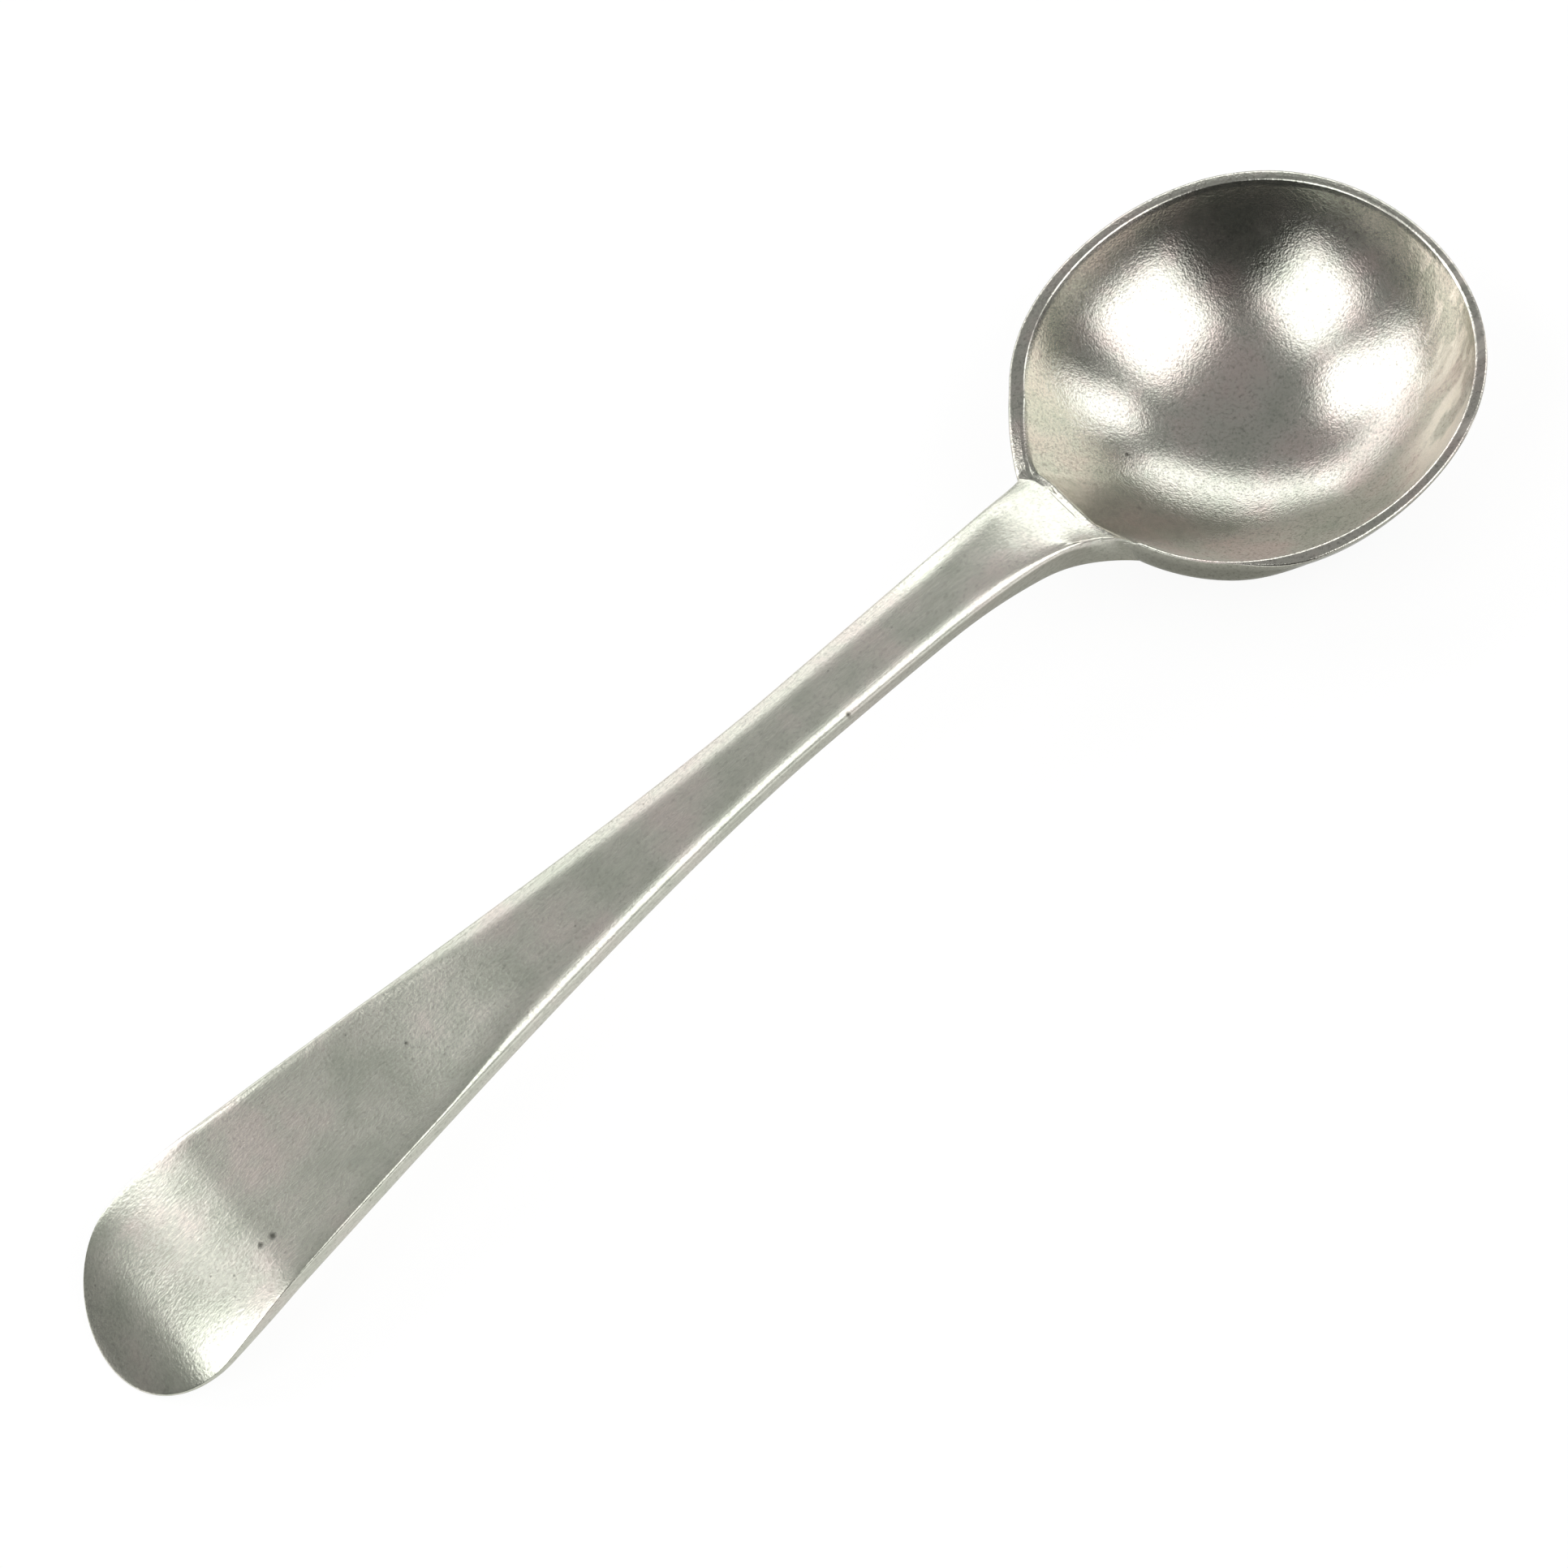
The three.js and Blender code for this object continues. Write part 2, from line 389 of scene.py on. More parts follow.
@dataclass(frozen=True)
class PaintedHighlightStreaks:
    """Painted highlight: pale streaks drawn along the spoon on one patch of the bowl's wall, where it
    should mirror brighter light.
    """

    colour: str
    patch: Patch
    # The pale streaks of painted highlight are drawn in bundles of this width.
    width_mm: float = 0.9
    draw: tuple[float, float, float] = (0.1, 1.0, 0.6)
    contrast: tuple[float, float] = (0.48, 0.6)

    def over(self, tree: NodeTree, colour: NodeSocket, place: NodeSocket) -> NodeSocket:
        """Paints the highlight streaks over the colour of the metal.

        Args:
            tree: Tree of the material.
            colour: Colour of the metal.
            place: Object coordinates, in metres.

        Returns:
            The colour with the painted highlight streaks.
        """
        drawn = add_node(
            tree, "ShaderNodeVectorMath", {"operation": "MULTIPLY"}, {0: place, 1: self.draw},
        )
        lines = add_node(
            tree, "ShaderNodeTexNoise", None,
            {"Vector": drawn.outputs[0], "Scale": 1 / (self.width_mm * MM), "Detail": 2.0},
        )
        faint, full = self.contrast
        share = add_node(
            tree, "ShaderNodeMapRange", None,
            {0: lines.outputs["Fac"], 1: faint, 2: full, 3: 0.0, 4: self.patch.mask(tree, place)},
        )
        return add_node(
            tree, "ShaderNodeMix", {"data_type": "RGBA"},
            {0: share.outputs[0], 6: colour, 7: linear(self.colour)},
        ).outputs[2]


@dataclass(frozen=True)
class Rubbing:
    """Polishing along the stem, which sets in between two places and blurs what it mirrors across it."""

    span_x: tuple[float, float]
    anisotropy: tuple[float, float]
    dulling: float

    def add(
        self, tree: NodeTree, normal: NodeSocket, along: NodeSocket,
    ) -> tuple[dict[str, NodeSocket], NodeSocket]:
        """Adds the rubbing to a material.

        Args:
            tree: Tree of the material.
            normal: Normal of the surface in the spoon's frame.
            along: X in metres.

        Returns:
            Sockets that stretch the gloss, by the shader's names, and one with the roughness it adds.
        """
        start, end = self.span_x
        run = {0: along, 1: start * MM, 2: end * MM}
        stretch = add_node(
            tree, "ShaderNodeMapRange", None, run | {3: self.anisotropy[0], 4: self.anisotropy[1]},
        )
        dulled = add_node(tree, "ShaderNodeMapRange", None, run | {3: 0.0, 4: self.dulling})
        across = add_node(
            tree, "ShaderNodeVectorMath", {"operation": "CROSS_PRODUCT"}, {0: normal, 1: (1.0, 0.0, 0.0)},
        )
        return {"Anisotropic": stretch.outputs[0], "Tangent": across.outputs[0]}, dulled.outputs[0]


@dataclass(frozen=True)
class SilverFinish:
    """Old sterling silver, hammered to shape, scraped smooth and worn satin by two centuries of use.

    The eye gets a soft grey mirror: a burnished share gives blurred reflections, fine rubbing scratches
    scatter the rest wide, the polish has thinned to a faint warm and cool mottle, and the sides and
    underneath are darker, partly with tarnish where no cloth rubs and partly with painted shade.
    """

    name: str
    colour: str = "#dfddd3"
    warm: str = "#e1d9cf"
    cool: str = "#d8d9cd"
    # Darker colour on the sides and underneath: partly tarnish, partly painted shade.
    tarnish_and_shade: TarnishAndShade = TarnishAndShade("#b4b1a2")
    pit_colour: str = "#4c4a40"
    burnish: tuple[float, float] = (0.14, 0.2)
    rubbing: Rubbing | None = None
    # Pale streaks of painted highlight on one patch of the bowl.
    painted_highlight_streaks: PaintedHighlightStreaks | None = None
    scouring: Scouring | None = None
    scatter: float = 1.0
    scatter_share: tuple[float, float] = (0.0, 0.1)
    mottle_mm: float = 5.0
    # The grain of worn silver is about 0.05 mm across, too fine to show, so it is drawn coarser.
    grain_mm: float = 0.22
    # Rubbing scratches are about 0.02 mm wide and are drawn coarser too.
    scratch_mm: float = 0.12
    scratch_depth: float = 0.5
    relief_mm: float = 0.003
    lay: Lay = Lay.LENGTHWISE
    pit_mm: float = 1.5
    pit_edge: tuple[float, float] = (0.02, 0.06)
    pit_share: float = 0.5
    pit_press: tuple[float, float, float] = (1.0, 1.0, 0.3)
    speck: float = 0.3
    speck_range: tuple[float, float] = (0.5, 0.75)
    blemishes: tuple[Blemish, ...] = ()

    def material(self) -> Material:
        """Builds the procedural material.

        Returns:
            The material, with its pattern in the metres of the spoon's own frame.
        """
        made = bpy.data.materials.new(self.name)
        made.use_nodes = True
        tree = made.node_tree
        tree.nodes.clear()
        axes = add_node(tree, "ShaderNodeTexCoord").outputs
        place, normal = axes["Object"], axes["Normal"]
        along = add_node(tree, "ShaderNodeSeparateXYZ", None, {0: place}).outputs["X"]
        mottle = add_node(
            tree, "ShaderNodeTexNoise", None,
            {"Vector": place, "Scale": 1 / (self.mottle_mm * MM), "Detail": 4.0, "Roughness": 0.6},
        ).outputs["Fac"]
        grain = add_node(
            tree, "ShaderNodeTexNoise", None,
            {"Vector": place, "Scale": 1 / (self.grain_mm * MM), "Detail": 3.0, "Roughness": 0.7},
        ).outputs["Fac"]
        drawn = add_node(
            tree, "ShaderNodeVectorMath", {"operation": "MULTIPLY"}, {0: place, 1: self.lay.value},
        )
        scratches = add_node(
            tree, "ShaderNodeTexNoise", None,
            {"Vector": drawn.outputs[0], "Scale": 1 / (self.scratch_mm * MM), "Detail": 2.0},
        ).outputs["Fac"]
        tarnish_and_shade_share = self.tarnish_and_shade.mask(tree, place, normal, along)
        colour = self.metal_colour(tree, mottle, tarnish_and_shade_share, self.pit_mask(tree, place, grain))
        if self.painted_highlight_streaks:
            colour = self.painted_highlight_streaks.over(tree, colour, place)
        uneven = add_node(tree, "ShaderNodeMath", {"operation": "ADD"}, {0: grain, 1: mottle})
        low, high = NOISE_SUM_RANGE
        rough = add_node(
            tree, "ShaderNodeMapRange", None,
            {0: uneven.outputs[0], 1: low, 2: high, 3: self.burnish[0], 4: self.burnish[1]},
        )
        ridges = add_node(
            tree, "ShaderNodeMath", {"operation": "MULTIPLY_ADD"},
            {0: scratches, 1: self.scratch_depth, 2: grain},
        )
        bump = add_node(
            tree, "ShaderNodeBump", None,
            {"Strength": 1.0, "Distance": self.relief_mm * MM, "Height": ridges.outputs[0]},
        )
        surface = {"Base Color": colour, "Metallic": 1.0, "Normal": bump.outputs["Normal"]}
        if self.rubbing:
            stretched, dulled = self.rubbing.add(tree, normal, along)
            surface |= stretched
            rough = add_node(
                tree, "ShaderNodeMath", {"operation": "ADD"}, {0: rough.outputs[0], 1: dulled},
            )
        burnished = add_node(
            tree, "ShaderNodeBsdfPrincipled", None, surface | {"Roughness": rough.outputs[0]},
        )
        scratched = add_node(
            tree, "ShaderNodeBsdfPrincipled", None, surface | {"Roughness": self.scatter},
        )
        worn = add_node(
            tree, "ShaderNodeMixShader", None,
            {0: self.scratched_share(tree, scratches, place),
             1: burnished.outputs[0], 2: scratched.outputs[0]},
        )
        add_node(tree, "ShaderNodeOutputMaterial", None, {"Surface": worn.outputs[0]})
        return made

    def scratched_share(self, tree: NodeTree, scratches: NodeSocket, place: NodeSocket) -> NodeSocket:
        """Adds the share of the surface that scratches have dulled.

        Args:
            tree: Tree of the material.
            scratches: Fine pattern of the scratches.
            place: Object coordinates, in metres.

        Returns:
            A socket with the share.
        """
        low, high = NOISE_RANGE
        share = add_node(
            tree, "ShaderNodeMapRange", None,
            {0: scratches, 1: low, 2: high, 3: self.scatter_share[0], 4: self.scatter_share[1]},
        ).outputs[0]
        if not self.scouring:
            return share
        return add_node(
            tree, "ShaderNodeMath", {"operation": "ADD"},
            {0: self.scouring.amount(tree, place), 1: share},
        ).outputs[0]

    def metal_colour(
        self, tree: NodeTree, mottle: NodeSocket, tarnish_and_shade_share: NodeSocket, pits: NodeSocket,
    ) -> NodeSocket:
        """Adds the colour of the metal: mottled silver under its tarnish and painted shade, and its pits.

        Args:
            tree: Tree of the material.
            mottle: Slow pattern of the polish.
            tarnish_and_shade_share: Share of tarnish and painted shade.
            pits: 1 in a pit.

        Returns:
            The colour.
        """
        tint = add_node(tree, "ShaderNodeValToRGB", None, {"Fac": mottle})
        low, high = NOISE_RANGE
        stops = tint.color_ramp.elements
        stops[0].position, stops[0].color = low, linear(self.cool)
        stops[1].position, stops[1].color = high, linear(self.warm)
        stops.new((low + high) / 2).color = linear(self.colour)
        # Mixes in the darker colour of tarnish and painted shade.
        dulled = add_node(
            tree, "ShaderNodeMix", {"data_type": "RGBA"},
            {0: tarnish_and_shade_share, 6: tint.outputs["Color"], 7: linear(self.tarnish_and_shade.colour)},
        )
        return add_node(
            tree, "ShaderNodeMix", {"data_type": "RGBA"},
            {0: pits, 6: dulled.outputs[2], 7: linear(self.pit_colour)},
        ).outputs[2]

    def pit_mask(self, tree: NodeTree, place: NodeSocket, grain: NodeSocket) -> NodeSocket:
        """Adds the pits: specks of the grain, a scatter of fine pits, and the few larger blemishes.

        Args:
            tree: Tree of the material.
            place: Object coordinates, in metres.
            grain: Fine pattern of the metal.

        Returns:
            A socket that is 1 in a pit and 0 elsewhere.
        """
        cells = add_node(
            tree, "ShaderNodeTexVoronoi", None,
            {"Vector": place, "Scale": 1 / (self.pit_mm * MM), "Randomness": 1.0},
        )
        inner, outer = self.pit_edge
        fine = add_node(
            tree, "ShaderNodeMapRange", None,
            {0: cells.outputs["Distance"], 1: inner, 2: outer, 3: self.pit_share, 4: 0.0},
        )
        low, high = self.speck_range
        specks = add_node(
            tree, "ShaderNodeMapRange", None, {0: grain, 1: low, 2: high, 3: 0.0, 4: self.speck},
        )
        mask = add_node(
            tree, "ShaderNodeMath", {"operation": "MAXIMUM"}, {0: fine.outputs[0], 1: specks.outputs[0]},
        ).outputs[0]
        pressed = add_node(
            tree, "ShaderNodeVectorMath", {"operation": "MULTIPLY"}, {0: place, 1: self.pit_press},
        )
        for blemish in self.blemishes:
            centre = [axis * press * MM for axis, press in zip(blemish.place, self.pit_press)]
            reach = add_node(
                tree, "ShaderNodeVectorMath", {"operation": "DISTANCE"},
                {0: pressed.outputs[0], 1: centre},
            )
            inner, outer = (share * blemish.width * MM for share in blemish.edge)
            spot = add_node(
                tree, "ShaderNodeMapRange", None,
                {0: reach.outputs["Value"], 1: inner, 2: outer, 3: blemish.darkness, 4: 0.0},
            )
            mask = add_node(
                tree, "ShaderNodeMath", {"operation": "MAXIMUM"}, {0: mask, 1: spot.outputs[0]},
            ).outputs[0]
        return mask


@dataclass
class Bowl:
    """Round bowl raised by hand: a cap of a sphere with a filed, slightly square rim drawn to the stem.

    Turns about the bowl's axis are in degrees from +X. Turns off the neck count from its middle, which
    lies at 180, and are positive to the far side. Steps are counts of points along a line.
    """

    rim_radius: float
    rim_height: float
    depth: float = 7.8
    wall: float = 1.05
    rest_flat: float = 3.0
    mouth_mean: float = 12.95
    mouth_square: float = 0.11
    mouth_blend: int = 6
    edge_mean: float = 13.78
    edge_square: float = 0.17
    edge_draw: float = 0.15
    edge_blend: int = 5
    square_turn: float = 45.0
    fullness: float = 0.62
    fullest_turn: float = 268.0
    hammer_width: float = 4.5
    hammer_relief: float = 0.03
    hammer_fade: int = 8
    hammer_layer: float = 0.5
    rim_wall: float = 0.3
    rim_slack: float = 0.06
    rim_run: float = 2.4
    rim_under: float = 0.8
    rim_fall: float = 0.06
    corner_fall: float = 0.13
    corner_fade: tuple[float, float] = (18.0, 44.0)
    ridge_width: float = 0.18
    ridge_angle: float = 20.0
    ridge_round: float = 0.07
    edge_round: float = 0.3
    foot_round: float = 0.5
    neck_turn: float = 180.0
    neck_cut: float = 13.55
    neck_cut_reach: float = 40.0
    neck_far: float = 14.0
    neck_near: float = 19.0
    far_draw: tuple[float, float] = (37.0, 1.18)
    far_draw_full: float = 13.0
    far_draw_bend: float = 1.25
    near_draw: tuple[float, float] = (21.0, 0.05)
    edge_far_draw: tuple[float, float] = (40.0, 1.2)
    edge_far_bend: float = 1.5
    edge_far_start: tuple[float, float] = (-8.0, 8.0)
    dip_near: tuple[float, float] = (-3.0, 7.0)
    dip_far: tuple[float, float] = (-5.0, 3.0)
    lip_height: float = 8.2
    lip_cover: float = 0.12
    band_turns: tuple[float, float, float, float] = (188.0, 199.0, 224.0, 246.0)
    band_drop: float = 1.75
    band_swell: float = 0.42
    band_lip: float = 0.04
    round_steps: int = 360
    flat_steps: int = 8
    arc_steps: int = 40
    rim_steps: tuple[int, ...] = (4, 8, 6, 4, 4)
    hollow_steps: int = 56
    hollow_start: float = 88.0
    hollow_samples: int = 400
    sphere_tries: int = 30

    def __post_init__(self) -> None:
        """Works out the two spheres of the wall from the rim, the depth and the wall."""
        mouth = self.rim_radius
        for _ in range(self.sphere_tries):
            mouth = self.rim_radius / (1 + 2 * self.wall * self.depth / (mouth**2 + self.depth**2))
        self.inner_sphere = (mouth**2 + self.depth**2) / (2 * self.depth)
        self.outer_sphere = self.inner_sphere + self.wall
        self.sphere_height = math.sqrt(self.outer_sphere**2 - self.rest_flat**2)
        self.top = self.rim_height - self.rim_slack

    def off_neck(self, turn: Numbers) -> Numbers:
        """Signed turn from the middle of the neck, positive to the far side."""
        return self.neck_turn - np.asarray(turn, float) % 360.0

    def squareness(self, turn: Numbers) -> Numbers:
        """Wave with four crests round the rim, at the corners of a square."""
        return np.cos(np.radians(4 * (turn - self.square_turn)))

    def mouth(self, turn: Numbers) -> Numbers:
        """Radius of the ridge round the mouth: nearly round, but cut straight across at the neck.

        Args:
            turn: Where round the bowl.

        Returns:
            The radius.
        """
        off = self.off_neck(turn)
        ring = self.mouth_mean + self.mouth_square * self.squareness(turn)
        cut = self.neck_cut / np.cos(np.radians(np.clip(off, -self.neck_cut_reach, self.neck_cut_reach)))
        reach, amount = self.far_draw
        drawn = np.maximum((reach - off) / (reach - self.far_draw_full), 0.0) ** self.far_draw_bend
        near = ring + self.near_draw[1] * (self.near_draw[0] + off)
        return np.maximum(ring, np.minimum(cut, np.minimum(ring + amount * drawn, near)))

    def edge(self, turn: Numbers) -> Numbers:
        """Radius of the outer edge of the rim, drawn out to the far corner of the neck.

        Args:
            turn: Where round the bowl.

        Returns:
            The radius.
        """
        off = self.off_neck(turn)
        ring = self.edge_mean + self.edge_square * self.squareness(turn)
        ring = ring - self.edge_draw * np.cos(np.radians(turn))
        reach, amount = self.edge_far_draw
        drawn = amount * np.clip((reach - off) / (reach - self.neck_far), 0, 1) ** self.edge_far_bend
        return ring + drawn * smooth_share(off, *self.edge_far_start)

    def height(self, turn: Numbers) -> Numbers:
        """Height of the rim, which dips where the neck lies over it.

        Args:
            turn: Where round the bowl.

        Returns:
            The height.
        """
        off = self.off_neck(turn)
        near, far = -self.neck_near, self.neck_far
        dip = smooth_share(off, near + self.dip_near[0], near + self.dip_near[1])
        dip = dip * (1 - smooth_share(off, far + self.dip_far[0], far + self.dip_far[1]))
        return blend(self.top, self.lip_height - self.lip_cover, dip)

    def fall(self, turn: float) -> float:
        """Fall of the rim's flat to its outer edge, more where it runs into the far corner of the neck.

        Args:
            turn: Where round the bowl.

        Returns:
            The fall.
        """
        off = self.off_neck(turn)
        near_corner = smooth_share(off, 0.0, self.neck_far) * (1 - smooth_share(off, *self.corner_fade))
        return float(self.rim_fall + self.corner_fall * near_corner)

    def band(self, turn: Numbers) -> Numbers:
        """Share of the upright band of wall that runs on from the near side of the neck."""
        start, full, fade, end = self.band_turns
        return smooth_share(turn, start, full) * (1 - smooth_share(turn, fade, end))

    def outer_radius(self, height: Numbers, turn: float) -> Numbers:
        """Radius of the bowl's outside: a sphere, drawn in to the edge of the rim.

        Args:
            height: How far up.
            turn: Where round the bowl.

        Returns:
            The radius.
        """
        plain = np.sqrt(np.maximum(self.outer_sphere**2 - (self.sphere_height - height) ** 2, 0.0))
        at_rim = math.sqrt(self.outer_sphere**2 - (self.sphere_height - self.top) ** 2)
        return plain * (1 + (float(self.edge(turn)) / at_rim - 1) * (plain / at_rim) ** self.edge_blend)

    def hollow(self, turn: float) -> np.ndarray:
        """Inside of the bowl at a turn, from a little under the rim to the middle.

        It is a sphere on the far side, and fuller, toward a half ellipsoid, on the near.

        Args:
            turn: Where round the bowl.

        Returns:
            Points as radius and height.
        """
        ring = self.mouth_mean
        share = np.sin(np.linspace(math.radians(self.hollow_start), 0, self.hollow_samples))
        rim_depth = math.sqrt(self.inner_sphere**2 - ring**2)
        sphere = self.top + rim_depth - np.sqrt(self.inner_sphere**2 - (ring * share) ** 2)
        ellipsoid = self.top - (self.inner_sphere - rim_depth) * np.sqrt(1 - share**2)
        nearness = max(0.0, math.cos(math.radians(turn - self.fullest_turn))) ** 2
        height = blend(sphere, ellipsoid, self.fullness * nearness)
        height += self.hammer_marks(turn, ring * share) * (1 - share**self.hammer_fade)
        radius = ring * share * (1 + (float(self.mouth(turn)) / ring - 1) * share**self.mouth_blend)
        samples = np.arange(float(self.hollow_samples))
        start = np.interp(self.rim_wall - float(self.height(turn)), -height, samples)
        kept = np.linspace(start, samples[-1], self.hollow_steps)
        return np.stack([np.interp(kept, samples, axis) for axis in (radius, height)], axis=-1)

    def hammer_marks(self, turn: float, radius: np.ndarray) -> np.ndarray:
        """Heights of the faint facets that the planishing hammer has left in the hollow.

        Args:
            turn: Where round the bowl.
            radius: How far out.

        Returns:
            The heights.
        """
        along = np.array((math.cos(math.radians(turn)), math.sin(math.radians(turn)))) / self.hammer_width
        places = [(*(along * r), self.hammer_layer) for r in radius]
        return self.hammer_relief * np.array([noise.noise(place) for place in places])

    def mid_wall(self, turn: float, height: float) -> float:
        """Radius half way through the wall.

        Args:
            turn: Where round the bowl.
            height: How far up.

        Returns:
            The radius.
        """
        inside = self.hollow(turn)[::-1]
        inner = float(np.interp(height, inside[:, 1], inside[:, 0]))
        return (inner + float(self.outer_radius(height, turn))) / 2

    def profile(self, turn: float) -> np.ndarray:
        """Profile of the wall, from the middle of the worn flat over the rim to the middle inside.

        Args:
            turn: Where round the bowl.

        Returns:
            Points as radius and height.
        """
        top, band = float(self.height(turn)), float(self.band(turn))
        mouth, edge = float(self.mouth(turn)), float(self.edge(turn))
        low, under = top - self.rim_run, blend(top - self.rim_under, top - self.band_drop, band)
        foot = float(self.outer_radius(np.array(under), turn)) + self.band_swell * band
        ridge_fall = self.ridge_width * math.tan(math.radians(self.ridge_angle))
        hollow = self.hollow(turn)
        corners = (
            (float(self.outer_radius(np.array(low), turn)), low),
            (foot, under),
            (blend(edge, mouth + self.ridge_width + self.band_lip, band), top - self.fall(turn)),
            (mouth + self.ridge_width, top),
            (mouth, top - ridge_fall),
            tuple(hollow[0]),
        )
        radii = (self.foot_round, self.edge_round, self.ridge_round, self.ridge_round)
        rim = round_corners(corners, radii, self.rim_steps)
        flat = np.linspace((0, 0), (self.rest_flat, 0), self.flat_steps)
        lowest = math.acos(self.sphere_height / self.outer_sphere)
        highest = math.acos((self.sphere_height - low) / self.outer_sphere)
        arc = np.linspace(lowest, highest, self.arc_steps)
        rise = self.sphere_height - self.outer_sphere * np.cos(arc)
        outside = np.stack([self.outer_radius(rise, turn), rise], axis=-1)
        return np.concatenate([flat, outside[1:-1], rim, hollow[1:]])

    def at(self, turn: Numbers, radius: Numbers, height: Numbers) -> np.ndarray:
        """Points in the frame from turns, radii and heights."""
        a = np.radians(turn)
        return np.stack(np.broadcast_arrays(radius * np.cos(a), radius * np.sin(a), height), axis=-1)

    def build(self, finish: SilverFinish) -> Object:
        """Makes the bowl and dresses it.

        Args:
            finish: Its silver.

        Returns:
            The bowl.
        """
        turns = np.linspace(0, 360, self.round_steps + 1)
        columns = [self.at(np.array(t), *self.profile(t % 360).T) for t in turns]
        skin = Skin()
        skin.add_grid(np.stack(columns, axis=1))
        return skin.make("raised_bowl", finish.material(), "bowl")


@dataclass(frozen=True)
class Seat:
    """Where one edge of the neck meets the bowl, each place by its turn off the neck, radius and height."""

    lip_end: float
    edge: tuple[float, float, float]
    under: tuple[float, float, float]
    lead_out: float
    lead_in: float


@dataclass
class Stem:
    """Forged stem: a rounded, turned-down end, bevelled shoulders, and a neck that flows over the rim.

    A half section runs from the middle of the top, round one edge, to the middle below. A station is a
    distance from the bowl's axis. Steps are counts of points or rows along a run.
    """

    end_x: float
    end_half: float
    bowl: Bowl
    end_round: float = 5.4
    end_fullness: float = 6.1
    waist_half: float = 2.25
    waist_setback: float = 19.6
    waist_fullness: float = 15.5
    end_lift: float = 0.12
    end_angle: float = 41.0
    tip_angle: float = 12.8
    tip_length: float = 9.87
    bend_run: float = 1.4
    bend_height: float = 5.2
    rise_angle: float = 7.8
    rise_fullness: float = 16.0
    crest_setback: float = 9.7
    crest_rise: float = 1.43
    crest_fullness: float = 7.5
    dip_fullness: float = 6.0
    dip_angle: float = 22.0
    dip_run_out: float = 2.0
    rim_edge_height: float = 8.07
    tip_dome: float = 0.0053
    tip_fullness: float = 3.3
    tip_onset: float = 4.8
    tip_run_out: float = 0.3
    tip_least_half: float = 0.3
    twist: float = 0.078
    twist_narrowing: float = 0.56
    end_edge_height: float = 0.12
    end_edge_run: float = 0.5
    edge_height: float = 1.2
    neck_edge_height: float = 1.9
    shoulder_angle: float = 18.0
    tip_shoulder: float = 0.08
    tip_shoulder_span: tuple[float, float] = (-3.0, 5.0)
    end_shoulder: float = 0.45
    stem_shoulder: float = 1.35
    neck_shoulder: float = 0.5
    shoulder_start: float = 22.0
    shoulder_full: float = 32.0
    bevel_share: tuple[float, float] = (0.78, 1.0)
    crease_round: tuple[float, float] = (1.5, 0.5)
    edge_round: tuple[float, float] = (0.45, 0.3)
    under_round: float = 0.35
    far_spread: float = 1.7
    far_spread_run: float = 4.2
    neck_station: float = 17.5
    buried: float = 1.2
    lip_overlap: float = 0.02
    lip_rise: tuple[float, float] = (6.0, 20.0)
    lip_folds: tuple[tuple[float, float], ...] = ((0.03, 0.03), (0.04, 0.1), (0.02, 0.2))
    under_height: float = 6.0
    under_sunk: float = 0.15
    under_sink_rate: float = 4.0
    edge_way: tuple[float, float] = (0.5, 1.0)
    wall_way: tuple[float, float] = (0.45, 0.9)
    middle_lead: tuple[float, float] = (2.3, 1.1)
    middle_span: tuple[float, float] = (0.0, 0.6)
    most_lead: tuple[float, float] = (0.6, 0.5)
    near_seat: Seat = Seat(-20.0, (-21.0, 13.18, 8.44), (-29.0, 12.85, 6.75), 3.3, 1.9)
    far_seat: Seat = Seat(13.0, (15.5, 14.6, 8.22), (17.0, 13.28, 6.6), 1.4, 0.4)
    section_steps: tuple[int, int, int, int] = (14, 6, 8, 8)
    bend_steps: int = 40
    end_steps: int = 97
    bend_span: tuple[float, float] = (1.5, -2.5)
    fine_station: float = 24.0
    station_steps: tuple[int, int, int, int] = (24, 40, 150, 40)
    neck_steps: int = 49
    cap_shares: tuple[float, ...] = (0.8, 0.6, 0.4, 0.2, 0.0)

    def __post_init__(self) -> None:
        """Works out the stations along the stem and reads its two driving lines."""
        rim = self.bowl.rim_radius
        self.end_centre = self.end_x + self.end_round
        self.waist_x = -rim - self.waist_setback
        self.crest_x = -rim - self.crest_setback
        self.bend_x = self.end_x + self.tip_length
        self.taper = bezier(
            (self.end_centre, self.end_half),
            (self.end_centre + self.end_fullness, self.end_half),
            (self.waist_x - self.waist_fullness, self.waist_half),
            (self.waist_x, self.waist_half),
        )
        self.edge_line = self.read_edge_line()

    def read_edge_line(self) -> np.ndarray:
        """Height of the top of the stem's edge, from its end over the crest to the rim.

        Returns:
            Points as X and height.
        """
        angles = (self.rise_angle, self.dip_angle, self.tip_angle, self.end_angle)
        rise, dip, tip, end_fall = (math.tan(math.radians(a)) for a in angles)
        end = (self.end_x, self.end_lift)
        half_run = self.bend_run / 2
        bend = (self.bend_x, self.bend_height)
        kink = (bend[0] + half_run, bend[1] + half_run * tip)
        straight = (kink[0] + half_run, kink[1] + half_run * rise)
        run = (bend[1] - self.tip_length * tip - end[1]) / (end_fall - tip)
        corner = (end[0] + run, end[1] + run * end_fall)
        lifted = (straight[0] + self.rise_fullness, straight[1] + self.rise_fullness * rise)
        crest = (self.crest_x, self.bowl.rim_height + self.crest_rise)
        rim = (-self.bowl.rim_radius, self.rim_edge_height)
        falling = (rim[0] - self.dip_run_out, rim[1] + self.dip_run_out * dip)
        return np.concatenate([
            bezier(end, corner, bend),
            bezier(bend, kink, straight, count=self.bend_steps)[1:],
            bezier(straight, lifted, (crest[0] - self.crest_fullness, crest[1]), crest)[1:],
            bezier(crest, (crest[0] + self.dip_fullness, crest[1]), falling, rim)[1:],
        ])

